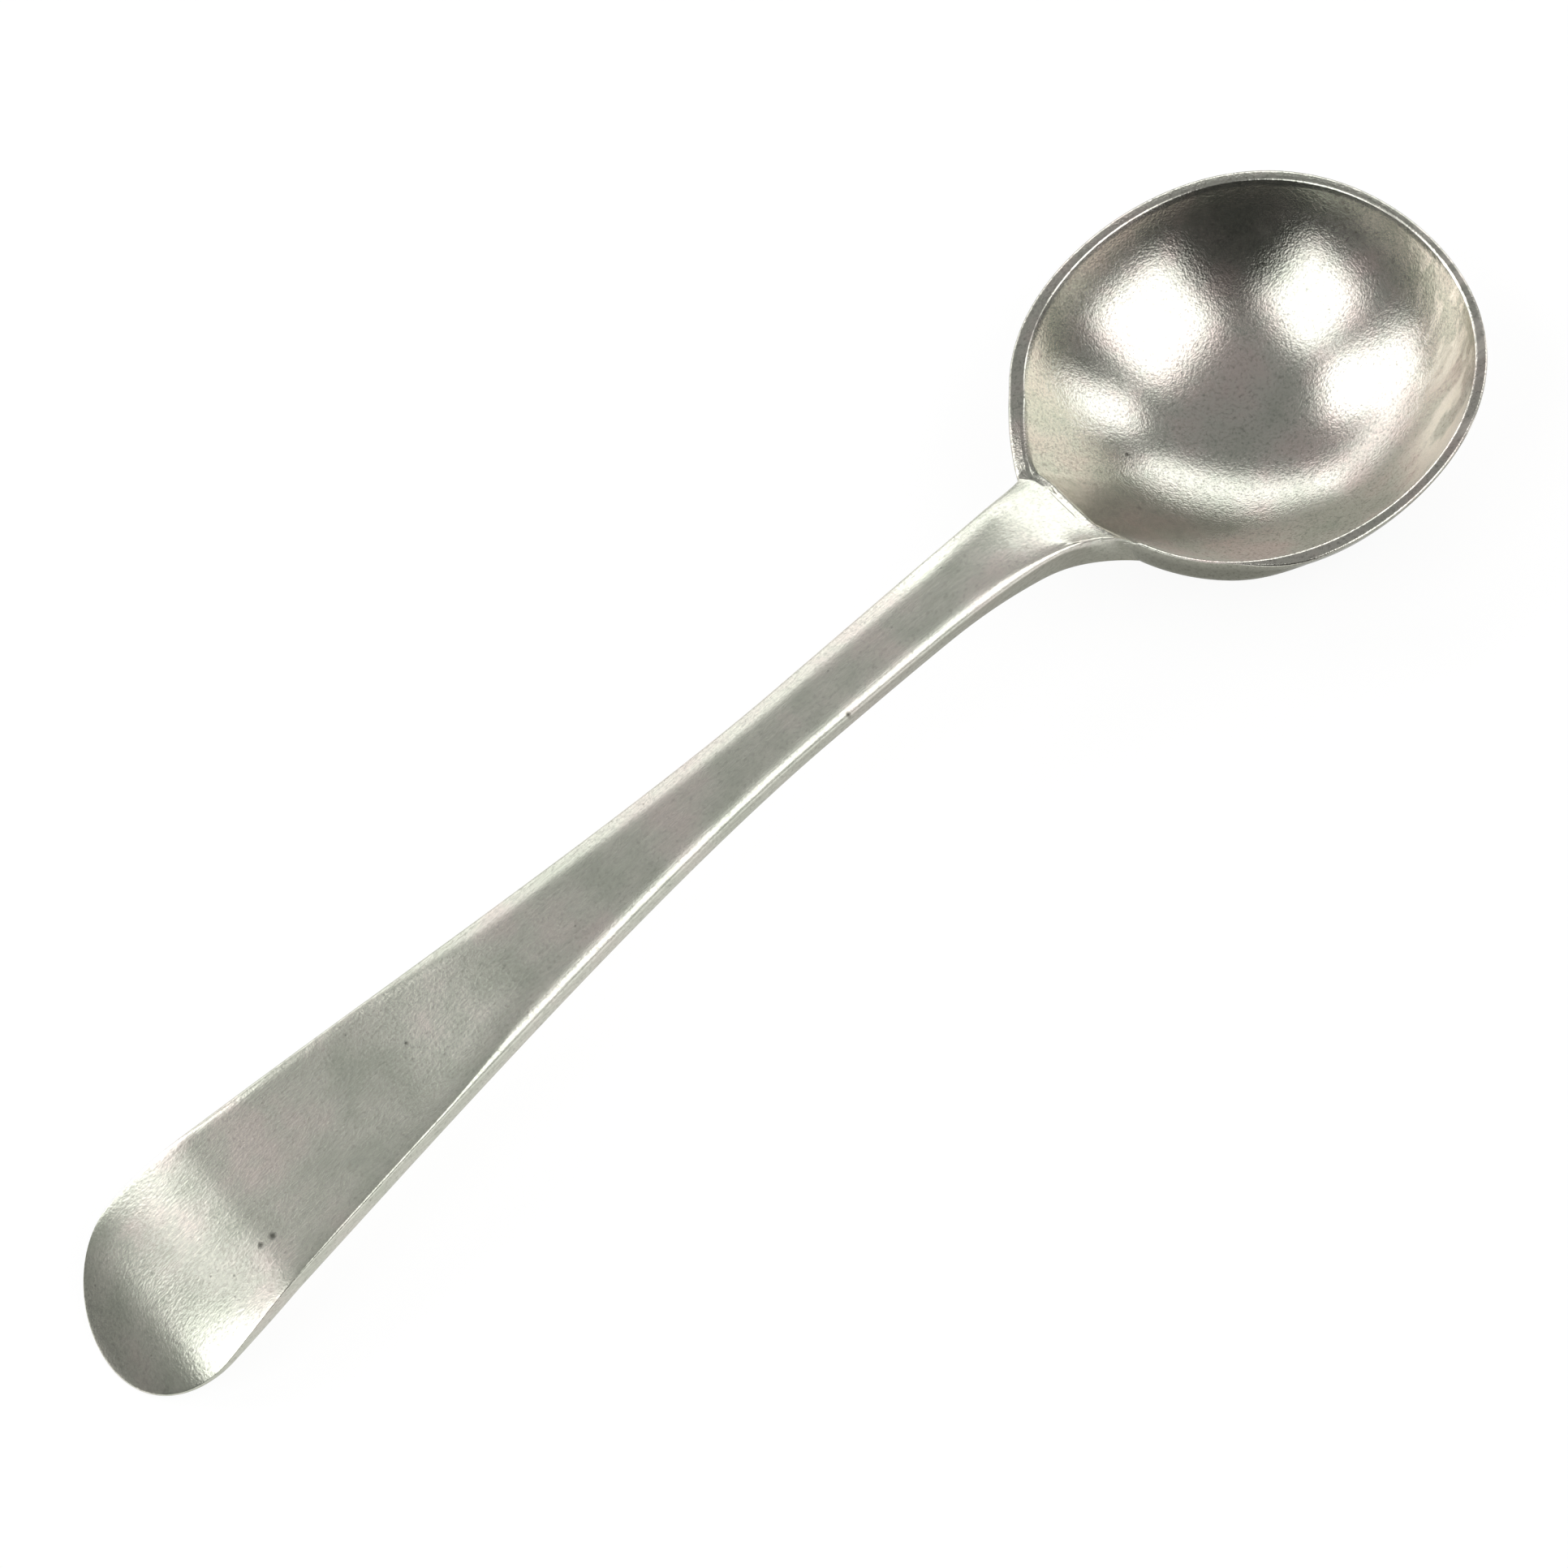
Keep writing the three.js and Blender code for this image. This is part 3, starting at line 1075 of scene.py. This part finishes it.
    def twist_at(self, x: np.ndarray) -> np.ndarray:
        """Slope across the stem, which years of use have twisted a little toward its near side."""
        return self.twist * smooth_share(-np.asarray(x), -self.crest_x, -self.bend_x)

    def edge_height_at(self, x: np.ndarray, y: np.ndarray) -> np.ndarray:
        """Height of the edge line over points, with the twist and with the dome of the turned-down end.

        Args:
            x: Places along the stem.
            y: Places across it.

        Returns:
            The heights.
        """
        along = np.where(x < self.crest_x, x, -np.hypot(x, y))
        round_share = np.clip((x - self.end_centre) / self.end_round, -1.0, 0.0)
        half = np.interp(x, self.taper[:, 0], self.taper[:, 1]) * np.sqrt(1 - round_share**2)
        across = np.minimum(np.abs(y) / np.maximum(half, self.tip_least_half), 1.0)
        turned = 1 - smooth_share(x, self.bend_x - self.tip_onset, self.bend_x + self.tip_run_out)
        dome = self.tip_dome * turned * half**2 * (1 - across**self.tip_fullness)
        return np.interp(along, self.edge_line[:, 0], self.edge_line[:, 1]) + dome + self.twist_at(x) * y

    def half_width(self, station: float, side: Side) -> float:
        """Half the width of the stem on one side, where the far one spreads to the bowl.

        Args:
            station: Distance from the bowl's axis.
            side: Which edge.

        Returns:
            The half width.
        """
        straight = float(np.interp(-station, self.taper[:, 0], self.taper[:, 1]))
        if side is Side.NEAR:
            return straight
        past_rim = station - self.bowl.rim_radius
        return straight + self.far_spread * math.exp(-past_rim / self.far_spread_run)

    def edge_sizes(self, x: float) -> tuple[float, float]:
        """Sizes of the stem's edge.

        Args:
            x: Place along the stem.

        Returns:
            Width of the bevelled shoulder and height of the upright edge.
        """
        to_stem = smooth_share(x, self.end_x + self.shoulder_start, self.end_x + self.shoulder_full)
        to_neck = smooth_share(x, self.crest_x, -self.bowl.rim_radius)
        before, past = self.tip_shoulder_span
        from_tip = smooth_share(x, self.bend_x + before, self.bend_x + past)
        full = blend(self.end_shoulder, self.stem_shoulder, to_stem)
        shoulder = blend(self.tip_shoulder, full, from_tip)
        thinning = smooth_share(x, self.end_x + self.end_edge_run, self.bend_x)
        edge = blend(self.end_edge_height, self.edge_height, thinning)
        return blend(shoulder, self.neck_shoulder, to_neck), blend(edge, self.neck_edge_height, to_neck)

    def half_section(self, x: float, middle_x: float, half_width: float, side: float) -> np.ndarray:
        """Half of the section at x.

        Args:
            x: Place of its edge along the stem.
            middle_x: Place of its middle along the stem.
            half_width: Half its width there.
            side: -1 for the near edge, 1 for the far edge, and between them round the end.

        Returns:
            Points as distance from the middle and height over the edge line.
        """
        slope = math.tan(math.radians(self.shoulder_angle))
        shoulder, edge_height = self.edge_sizes(x)
        middle_shoulder, middle_height = self.edge_sizes(middle_x)
        sizes = (self.bevel_share, self.crease_round, self.edge_round)
        bevel, crease, edge = (blend(*pair, (side + 1) / 2) for pair in sizes)
        corners = (
            (0.0, middle_shoulder * slope),
            (half_width - shoulder * bevel, shoulder * slope),
            (half_width, 0.0),
            (half_width, -edge_height),
            (0.0, -middle_height),
        )
        return round_corners(corners, (crease, edge, self.under_round), self.section_steps)

    def place_row(self, centre_x: float, out: tuple[float, float], section: np.ndarray) -> np.ndarray:
        """Places a half section in the frame.

        Args:
            centre_x: Where its middle lies.
            out: The way in plan from the middle to the edge.
            section: Its points.

        Returns:
            Points of the row.
        """
        x = centre_x + out[0] * section[:, 0]
        y = out[1] * section[:, 0]
        height = np.maximum(self.edge_height_at(x, y) + section[:, 1], 0.0)
        return np.stack([x, y * (1 - self.twist_narrowing * self.twist_at(x)), height], axis=-1)

    def end_rows(self) -> np.ndarray:
        """Rows that fan round the turned-down end.

        Returns:
            The rows, from the near edge to the far one.
        """
        rows = []
        for turn in np.linspace(-math.pi / 2, math.pi / 2, self.end_steps):
            side = math.sin(turn)
            out = (-math.cos(turn) * self.end_round / self.end_half, side)
            edge_x = self.end_centre + out[0] * self.end_half
            section = self.half_section(edge_x, self.end_centre, self.end_half, side)
            rows.append(self.place_row(self.end_centre, out, section))
        return np.stack(rows)

    def seat(self, side: Side) -> Seat:
        """Where the neck's edge on one side comes down."""
        return self.near_seat if side is Side.NEAR else self.far_seat

    def seat_row(self, row: np.ndarray, side: Side) -> tuple[np.ndarray, np.ndarray]:
        """Where the points of the last plain row of one half come down on the bowl.

        Args:
            row: The last plain row.
            side: Edge that it runs to.

        Returns:
            Seated points, the top ones on the lip and the rest just inside the bowl's wall, and the ways
            along which they come in, each a vector that points back out.
        """
        seat, bowl = self.seat(side), self.bowl
        top, bevel, upright, _ = self.section_steps
        crease_at = top + ROUND_POINTS // 2
        edge_at = top + ROUND_POINTS + bevel + (ROUND_POINTS + 1) // 2
        under_at = edge_at + ROUND_POINTS + upright
        index = np.arange(len(row))
        over = np.clip(np.abs(row[:, 1]) / np.abs(row[:, 1]).max(), 0, 1)
        to_edge = np.clip((index - crease_at) / (edge_at - crease_at), 0, 1)
        down = np.clip((index - edge_at) / (under_at - edge_at), 0, 1)
        beneath = np.clip((index - under_at) / (len(row) - 1 - under_at), 0, 1)
        lip_off = seat.lip_end * over
        lip = bowl.mouth(bowl.neck_turn - lip_off) + self.lip_overlap
        rim_height = float(bowl.height(bowl.neck_turn - seat.edge[0]))
        lip_height = blend(bowl.lip_height, rim_height, smooth_share(np.abs(lip_off), *self.lip_rise))
        off, radius, height = (
            np.where(index <= edge_at, blend(start, edge, to_edge), blend(edge, under, down))
            for start, edge, under in zip((lip_off, lip, lip_height), seat.edge, seat.under)
        )
        turn = bowl.neck_turn - off * (1 - beneath)
        height = blend(height, self.under_height, beneath)
        wall = np.array([float(bowl.outer_radius(h, t)) for h, t in zip(height, turn)])
        radius = blend(radius, wall - self.under_sunk, np.clip(self.under_sink_rate * beneath, 0, 1))
        a, level = np.radians(turn), np.ones(len(row))
        dip = math.tan(math.radians(self.dip_angle))
        outward = np.stack([np.cos(a), np.sin(a), dip * level], axis=-1)
        round_rim = np.stack([np.sin(a), -np.cos(a), 0 * level], axis=-1) * -side.value
        out, up = self.wall_way
        up_wall = np.stack([out * np.cos(a), out * np.sin(a), up * level], axis=-1)
        way = blend(outward, round_rim, smooth_share(over, *self.edge_way)[:, None])
        way = blend(way, up_wall, beneath[:, None])
        return bowl.at(turn, radius, height), way / np.linalg.norm(way, axis=-1, keepdims=True)

    def neck_rows(self, row: np.ndarray, before: np.ndarray, side: Side) -> list[np.ndarray]:
        """Rows that carry one half from its last plain row on to the bowl and into its wall.

        Args:
            row: The last plain row.
            before: The row before it.
            side: Edge that they run to.

        Returns:
            The rows.
        """
        seat = self.seat(side)
        seated, way = self.seat_row(row, side)
        ahead = row - before
        ahead /= np.linalg.norm(ahead, axis=-1, keepdims=True)
        reach = np.linalg.norm(seated - row, axis=-1, keepdims=True)
        aside = smooth_share(np.abs(row[:, 1:2]) / np.abs(row[:, 1]).max(), *self.middle_span)
        (middle_out, middle_in), (most_out, most_in) = self.middle_lead, self.most_lead
        leave = row + ahead * np.minimum(blend(middle_out, seat.lead_out, aside), most_out * reach)
        arrive = seated + way * np.minimum(blend(middle_in, seat.lead_in, aside), most_in * reach)
        shares = np.linspace(0, 1, self.neck_steps)[1:]
        rows = [along_bezier([row, leave, arrive, seated], share) for share in shares]
        on_lip = np.arange(len(row)) < self.section_steps[0]
        plan = np.hypot(seated[:, 0], seated[:, 1])
        for inward, drop in self.lip_folds:
            shifted = seated.copy()
            shifted[:, :2] *= (1 - np.where(on_lip, inward, 0.0) / plan)[:, None]
            shifted[:, 2] -= drop
            rows.append(shifted)
        rows.append(self.in_wall(rows[-1]))
        return rows

    def in_wall(self, points: np.ndarray) -> np.ndarray:
        """Moves points to the middle of the bowl's wall, where they are out of sight.

        Args:
            points: Points near the wall.

        Returns:
            The moved points.
        """
        turn = np.degrees(np.arctan2(points[:, 1], points[:, 0])) % 360
        height = np.minimum(points[:, 2], self.bowl.lip_height - self.buried)
        radius = np.array([self.bowl.mid_wall(t, h) for t, h in zip(turn, height)])
        return self.bowl.at(turn, radius, height)

    def half_rows(self, side: Side) -> np.ndarray:
        """Rows of one half.

        Args:
            side: Which half.

        Returns:
            The rows, from the middle of the end to inside the bowl's wall.
        """
        bend_start, bend_end = (-self.bend_x + shift for shift in self.bend_span)
        ends = (-self.end_centre, bend_start, bend_end, self.fine_station, self.neck_station)
        runs = list(zip(ends, ends[1:], self.station_steps))
        stations = [np.linspace(*run, endpoint=run is runs[-1]) for run in runs]
        rows = []
        for station in np.concatenate(stations):
            section = self.half_section(-station, -station, self.half_width(station, side), side.value)
            rows.append(self.place_row(-station, (0.0, side.value), section))
        rows.extend(self.neck_rows(rows[-1], rows[-2], side))
        return np.stack(rows)

    def build(self, finish: SilverFinish) -> Object:
        """Makes the stem and dresses it.

        Args:
            finish: Its silver.

        Returns:
            The stem.
        """
        skin = Skin()
        near, far = self.half_rows(Side.NEAR), self.half_rows(Side.FAR)
        loop = np.concatenate([far[-1], near[-1][::-1]])
        centre = loop.mean(axis=0)
        cap = [loop] + [self.in_wall(blend(centre, loop, share)) for share in self.cap_shares]
        for grid in (self.end_rows(), near, far, np.stack(cap)):
            skin.add_grid(grid)
        return skin.make("forged_stem", finish.material(), "stem")


@dataclass
class Heel:
    """Drop of the stem lapped down the back of the bowl, and the solder that runs round it."""

    bowl: Bowl
    length: float = 5.5
    half_width: float = 2.2
    thickness: float = 0.95
    crown: int = 3
    sunk_share: float = 0.4
    root: float = 0.3
    bead: float = 0.22
    bead_flatness: float = 0.6
    side_steps: int = 12
    drop_tip_steps: int = 40
    bead_tip_steps: int = 60
    crown_steps: int = 14
    sunk_steps: int = 8
    bead_steps: int = 13

    def __post_init__(self) -> None:
        """Works out where the drop starts and where its tip begins to round."""
        self.root_x = -self.bowl.rim_radius + self.root
        self.tip_x = -self.bowl.rim_radius + self.length - self.half_width

    def outline(self, count: int) -> np.ndarray:
        """Outline of the drop in plan, from its root on the near side round the tip to the far side.

        Args:
            count: Points round the tip.

        Returns:
            Points as X and Y.
        """
        turn = np.linspace(-math.pi / 2, math.pi / 2, count)
        ahead, aside = self.half_width * np.cos(turn), self.half_width * np.sin(turn)
        tip = np.stack([self.tip_x + ahead, aside], axis=-1)
        near = np.linspace((self.root_x, -self.half_width), tip[0], self.side_steps, endpoint=False)
        far = np.linspace(tip[-1], (self.root_x, self.half_width), self.side_steps + 1)[1:]
        return np.concatenate([near, tip, far])

    def on_back(self, plan: np.ndarray, stand_off: float) -> np.ndarray:
        """Points on the back of the bowl over a plan, at a height off its outside.

        Args:
            plan: X and Y.
            stand_off: Height off the outer sphere.

        Returns:
            Points in the frame.
        """
        below = np.sqrt(self.bowl.outer_sphere**2 - (plan**2).sum(axis=-1))
        way = np.concatenate([plan, -below[..., None]], axis=-1) / self.bowl.outer_sphere
        return way * (self.bowl.outer_sphere + stand_off) + (0, 0, self.bowl.sphere_height)

    def build_drop(self, finish: SilverFinish) -> Object:
        """Makes the drop: a tongue with a rounded edge, thinning to its tip.

        Args:
            finish: Its silver.

        Returns:
            The drop.
        """
        outline = self.outline(self.drop_tip_steps)
        spine = np.stack([np.minimum(outline[:, 0], self.tip_x), np.zeros(len(outline))], axis=-1)
        rows = []
        for share in np.linspace(0, 1, self.crown_steps):
            stand_off = self.thickness * math.sqrt(1 - share**self.crown)
            rows.append(self.on_back(blend(spine, outline, share), stand_off))
        for share in np.linspace(1, 0, self.sunk_steps):
            rows.append(self.on_back(blend(spine, outline, share), -self.sunk_share * self.bowl.wall))
        grid = np.stack(rows)
        skin = Skin()
        skin.add_grid(grid)
        root = np.concatenate([grid[:, 0], grid[::-1, -1]])
        skin.add_fan(root, root.mean(axis=0))
        return skin.make("heel_drop", finish.material(), "stem")

    def build_solder(self, finish: SilverFinish) -> Object:
        """Makes the solder: a slim bead run into the corner between the drop and the bowl.

        Args:
            finish: Its metal.

        Returns:
            The bead.
        """
        outline = self.outline(self.bead_tip_steps)
        ahead = np.gradient(outline, axis=0)
        normal = np.stack([ahead[:, 1], -ahead[:, 0]], axis=-1)
        normal /= np.linalg.norm(normal, axis=-1, keepdims=True)
        rows = []
        for turn in np.linspace(0, 2 * math.pi, self.bead_steps):
            plan = outline + normal * self.bead * math.cos(turn)
            rows.append(self.on_back(plan, self.bead_flatness * self.bead * math.sin(turn)))
        grid = np.stack(rows)
        skin = Skin()
        skin.add_grid(grid)
        skin.add_fan(grid[:, 0], grid[:-1, 0].mean(axis=0))
        skin.add_fan(grid[::-1, -1], grid[:-1, -1].mean(axis=0))
        return skin.make("solder_bead", finish.material(), "solder_seam")


@dataclass(frozen=True)
class Softbox:
    """One soft lamp, by its place round the bowl, its angular size and the brightness of its cloth."""

    name: str
    azimuth: float
    elevation: float
    width: float
    height: float
    brightness: float
    roll: float = 0.0

    def build(self, distance: float) -> None:
        """Hangs the lamp.

        Args:
            distance: How far from the bowl it hangs, in metres.
        """
        lamp = bpy.data.lights.new(self.name, "AREA")
        lamp.shape = "RECTANGLE"
        lamp.size = 2 * distance * math.tan(math.radians(self.width / 2))
        lamp.size_y = 2 * distance * math.tan(math.radians(self.height / 2))
        lamp.energy = self.brightness * math.pi * lamp.size * lamp.size_y
        hung = bpy.data.objects.new(self.name, lamp)
        way = toward(self.azimuth, self.elevation)
        turn = way.to_track_quat("Z", "Y").to_matrix() @ Matrix.Rotation(math.radians(self.roll), 3, "Z")
        hung.matrix_world = Matrix.Translation(way * distance) @ turn.to_4x4()
        hung.visible_camera = False
        bpy.context.scene.collection.objects.link(hung)


@dataclass
class Studio:
    """White card floor, a grey room that is dark where the camera stands, and soft lamps round it."""

    floor_size: float = 4.0
    floor_drop_mm: float = 0.02
    floor_colour: str = "#f2f2f1"
    floor_lift: float = 0.85
    floor_white: float = 1.06
    room: float = 0.35
    horizon: float = 0.15
    overhead: tuple[float, float] = (0.1, 0.6)
    dark: float = 0.035
    dark_way: tuple[float, float] = (-41.0, 12.0)
    dark_spread: tuple[float, float] = (66.0, 26.0)
    lamp_distance: float = 2.5
    lamps: tuple[Softbox, ...] = (
        Softbox("key_softbox", 25.5, 42, 44, 44.5, 2.1, -14),
        Softbox("left_softbox", -89.6, 47.5, 34, 36, 2.1, -11),
        Softbox("back_left_softbox", -147, 34.2, 24, 41.5, 2.1, 7),
        Softbox("right_strip", 78, 20.5, 15, 32, 2.2, -9),
        Softbox("back_right_strip", 136, 26, 58, 18, 1.95),
        Softbox("back_strip", 182, 22, 34, 18, 1.65),
        Softbox("back_glow", 203, 46, 18, 14, 1.0),
    )

    def build_floor(self) -> None:
        """Lays the white card; rays that see it get most of its white at once, the rest keeps shadow."""
        mesh = bpy.data.meshes.new("floor")
        half, under = self.floor_size / 2, -self.floor_drop_mm * MM
        corners = [(-half, -half, under), (half, -half, under), (half, half, under), (-half, half, under)]
        mesh.from_pydata(corners, [], [(0, 1, 2, 3)])
        floor = bpy.data.objects.new("floor", mesh)
        bpy.context.scene.collection.objects.link(floor)
        card = bpy.data.materials.new("matt_white_card")
        card.use_nodes = True
        tree = card.node_tree
        tree.nodes.clear()
        path = add_node(tree, "ShaderNodeLightPath").outputs
        seen = path["Is Camera Ray"]
        for kind in ("Is Glossy Ray", "Is Transmission Ray"):
            either = {0: seen, 1: path[kind]}
            seen = add_node(tree, "ShaderNodeMath", {"operation": "MAXIMUM"}, either).outputs[0]
        lift = add_node(tree, "ShaderNodeMath", {"operation": "MULTIPLY"}, {0: seen, 1: self.floor_lift})
        paper = add_node(tree, "ShaderNodeBsdfDiffuse", None, {"Color": linear(self.floor_colour)})
        white = add_node(tree, "ShaderNodeEmission", None, {"Strength": self.floor_white})
        mixed = add_node(
            tree, "ShaderNodeMixShader", None,
            {0: lift.outputs[0], 1: paper.outputs[0], 2: white.outputs[0]},
        )
        add_node(tree, "ShaderNodeOutputMaterial", None, {"Surface": mixed.outputs[0]})
        mesh.materials.append(card)

    def build_room(self) -> None:
        """Paints the room: grey overhead, darker at the horizon and darkest where the camera stands."""
        world = bpy.data.worlds.new("grey_room")
        bpy.context.scene.world = world
        world.use_nodes = True
        tree = world.node_tree
        tree.nodes.clear()
        way = add_node(tree, "ShaderNodeTexCoord").outputs["Generated"]
        height = add_node(tree, "ShaderNodeSeparateXYZ", None, {0: way}).outputs["Z"]
        low, high = self.overhead
        grey = add_node(
            tree, "ShaderNodeMapRange", {"interpolation_type": "SMOOTHSTEP"},
            {0: height, 1: low, 2: high, 3: self.horizon, 4: self.room},
        )
        facing = add_node(
            tree, "ShaderNodeVectorMath", {"operation": "DOT_PRODUCT"},
            {0: way, 1: toward(*self.dark_way)},
        )
        wide, narrow = (math.cos(math.radians(a)) for a in self.dark_spread)
        shaded = add_node(
            tree, "ShaderNodeMapRange", {"interpolation_type": "SMOOTHSTEP"},
            {0: facing.outputs["Value"], 1: wide, 2: narrow, 3: 0.0, 4: 1.0},
        )
        level = add_node(
            tree, "ShaderNodeMix", {"data_type": "FLOAT"},
            {0: shaded.outputs[0], 2: grey.outputs[0], 3: self.dark},
        )
        back = add_node(tree, "ShaderNodeBackground", None, {"Strength": level.outputs[0]})
        add_node(tree, "ShaderNodeOutputWorld", None, {"Surface": back.outputs[0]})

    def build(self) -> None:
        """Builds the floor, the room and the lamps."""
        self.build_floor()
        self.build_room()
        for lamp in self.lamps:
            lamp.build(self.lamp_distance)


@dataclass(frozen=True)
class Viewpoint:
    """Camera at the photograph's viewing angle, worked out from the rim's ellipse and the outline."""

    azimuth: float = -20.02
    elevation: float = 58.96
    roll: float = -21.32
    distance_mm: float = 320.0
    clip: tuple[float, float] = (0.01, 20.0)
    focal_pixels: float = 6913.8
    target_mm: tuple[float, float, float] = (-36.01, -0.458, 5.0)

    def build(self) -> None:
        """Makes the camera and gives it to the scene."""
        lens = bpy.data.cameras.new("camera")
        lens.lens = lens.sensor_width * self.focal_pixels / PHOTO_PIXELS
        lens.clip_start, lens.clip_end = self.clip
        camera = bpy.data.objects.new("camera", lens)
        back = toward(self.azimuth, self.elevation)
        level = Vector((math.cos(math.radians(self.azimuth)), math.sin(math.radians(self.azimuth)), 0))
        upright = back.cross(level)
        turn = Matrix((level, upright, back)).transposed()
        turn = turn @ Matrix.Rotation(math.radians(self.roll), 3, "Z")
        place = Vector(self.target_mm) * MM + back * self.distance_mm * MM
        camera.matrix_world = Matrix.Translation(place) @ turn.to_4x4()
        bpy.context.scene.collection.objects.link(camera)
        bpy.context.scene.camera = camera


def main() -> None:
    """Builds the camera, the studio and the spoon's pieces, sized from the boxes of the imported bowl and
    stem.
    """
    logging.basicConfig(level=logging.INFO, format="%(name)s: %(message)s")
    bpy.context.scene.view_settings.view_transform = "Standard"
    Viewpoint().build()
    Studio().build()
    # Raised from sheet with a hammer, then scoured by salt: a grey mirror that frays the lamps' edges.
    bowl_silver = SilverFinish(
        "raised_sterling_silver", colour="#d9d7cd", warm="#e0d6ce", cool="#cccec2",
        # Darker outside of the bowl: painted shade of the shaded floor it mirrors, with some tarnish.
        tarnish_and_shade=TarnishAndShade("#9a9a8e", outside_only=True),
        burnish=(0.14, 0.21), scatter_share=(0.02, 0.12), lay=Lay.EVERY_WAY,
        grain_mm=0.2, relief_mm=0.014, speck=0.5,
        # Pale streaks on the near right wall: a painted highlight where the wall should mirror brighter
        # light.
        painted_highlight_streaks=PaintedHighlightStreaks("#f6f1e8", Patch((0.7, -0.7, 0.0), (7.5, 11.5))),
        scouring=Scouring(Patch((-0.2, -0.98, 0.0), (4.0, 8.5)), 0.6),
        blemishes=(Blemish((-7.17, 3.49, 3.12), 0.4),),
    )
    # Forged, filed and rubbed along its length: a brighter satin that draws reflections out sideways.
    stem_silver = SilverFinish(
        "forged_sterling_silver", colour="#e9e9dd", warm="#efe8df", cool="#dde0d2",
        # Darker sides and underside of the stem: tarnish, and painted shade of the floor they mirror.
        tarnish_and_shade=TarnishAndShade("#86867a", cover=(0.4, 0.9)),
        burnish=(0.17, 0.22), scatter_share=(0.1, 0.24), grain_mm=0.22, relief_mm=0.009, speck=0.3,
        rubbing=Rubbing((-76.0, -62.0), (0.4, 0.85), 0.045),
        blemishes=(
            Blemish((-74.74, -2.77, 5.3), 0.6),
            Blemish((-75.57, -2.68, 5.2), 0.5),
            Blemish((-62.25, 0.49, 7.2), 0.3),
            Blemish((-31.52, -2.12, 9.6), 0.4),
        ),
    )
    # Melted into the joint and never rubbed: a duller, yellower grey than the silver beside it.
    solder = SilverFinish("hard_silver_solder", colour="#c9c4b0", scatter_share=(0.6, 0.9))
    bowl_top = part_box("bowl")[1] / MM
    stem_low, stem_high = (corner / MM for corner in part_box("stem"))
    bowl = Bowl(rim_radius=bowl_top.x, rim_height=bowl_top.z)
    bowl.build(bowl_silver)
    Stem(end_x=stem_low.x, end_half=stem_high.y, bowl=bowl).build(stem_silver)
    heel = Heel(bowl)
    heel.build_drop(stem_silver)
    heel.build_solder(solder)


if __name__ == "__main__":
    main()
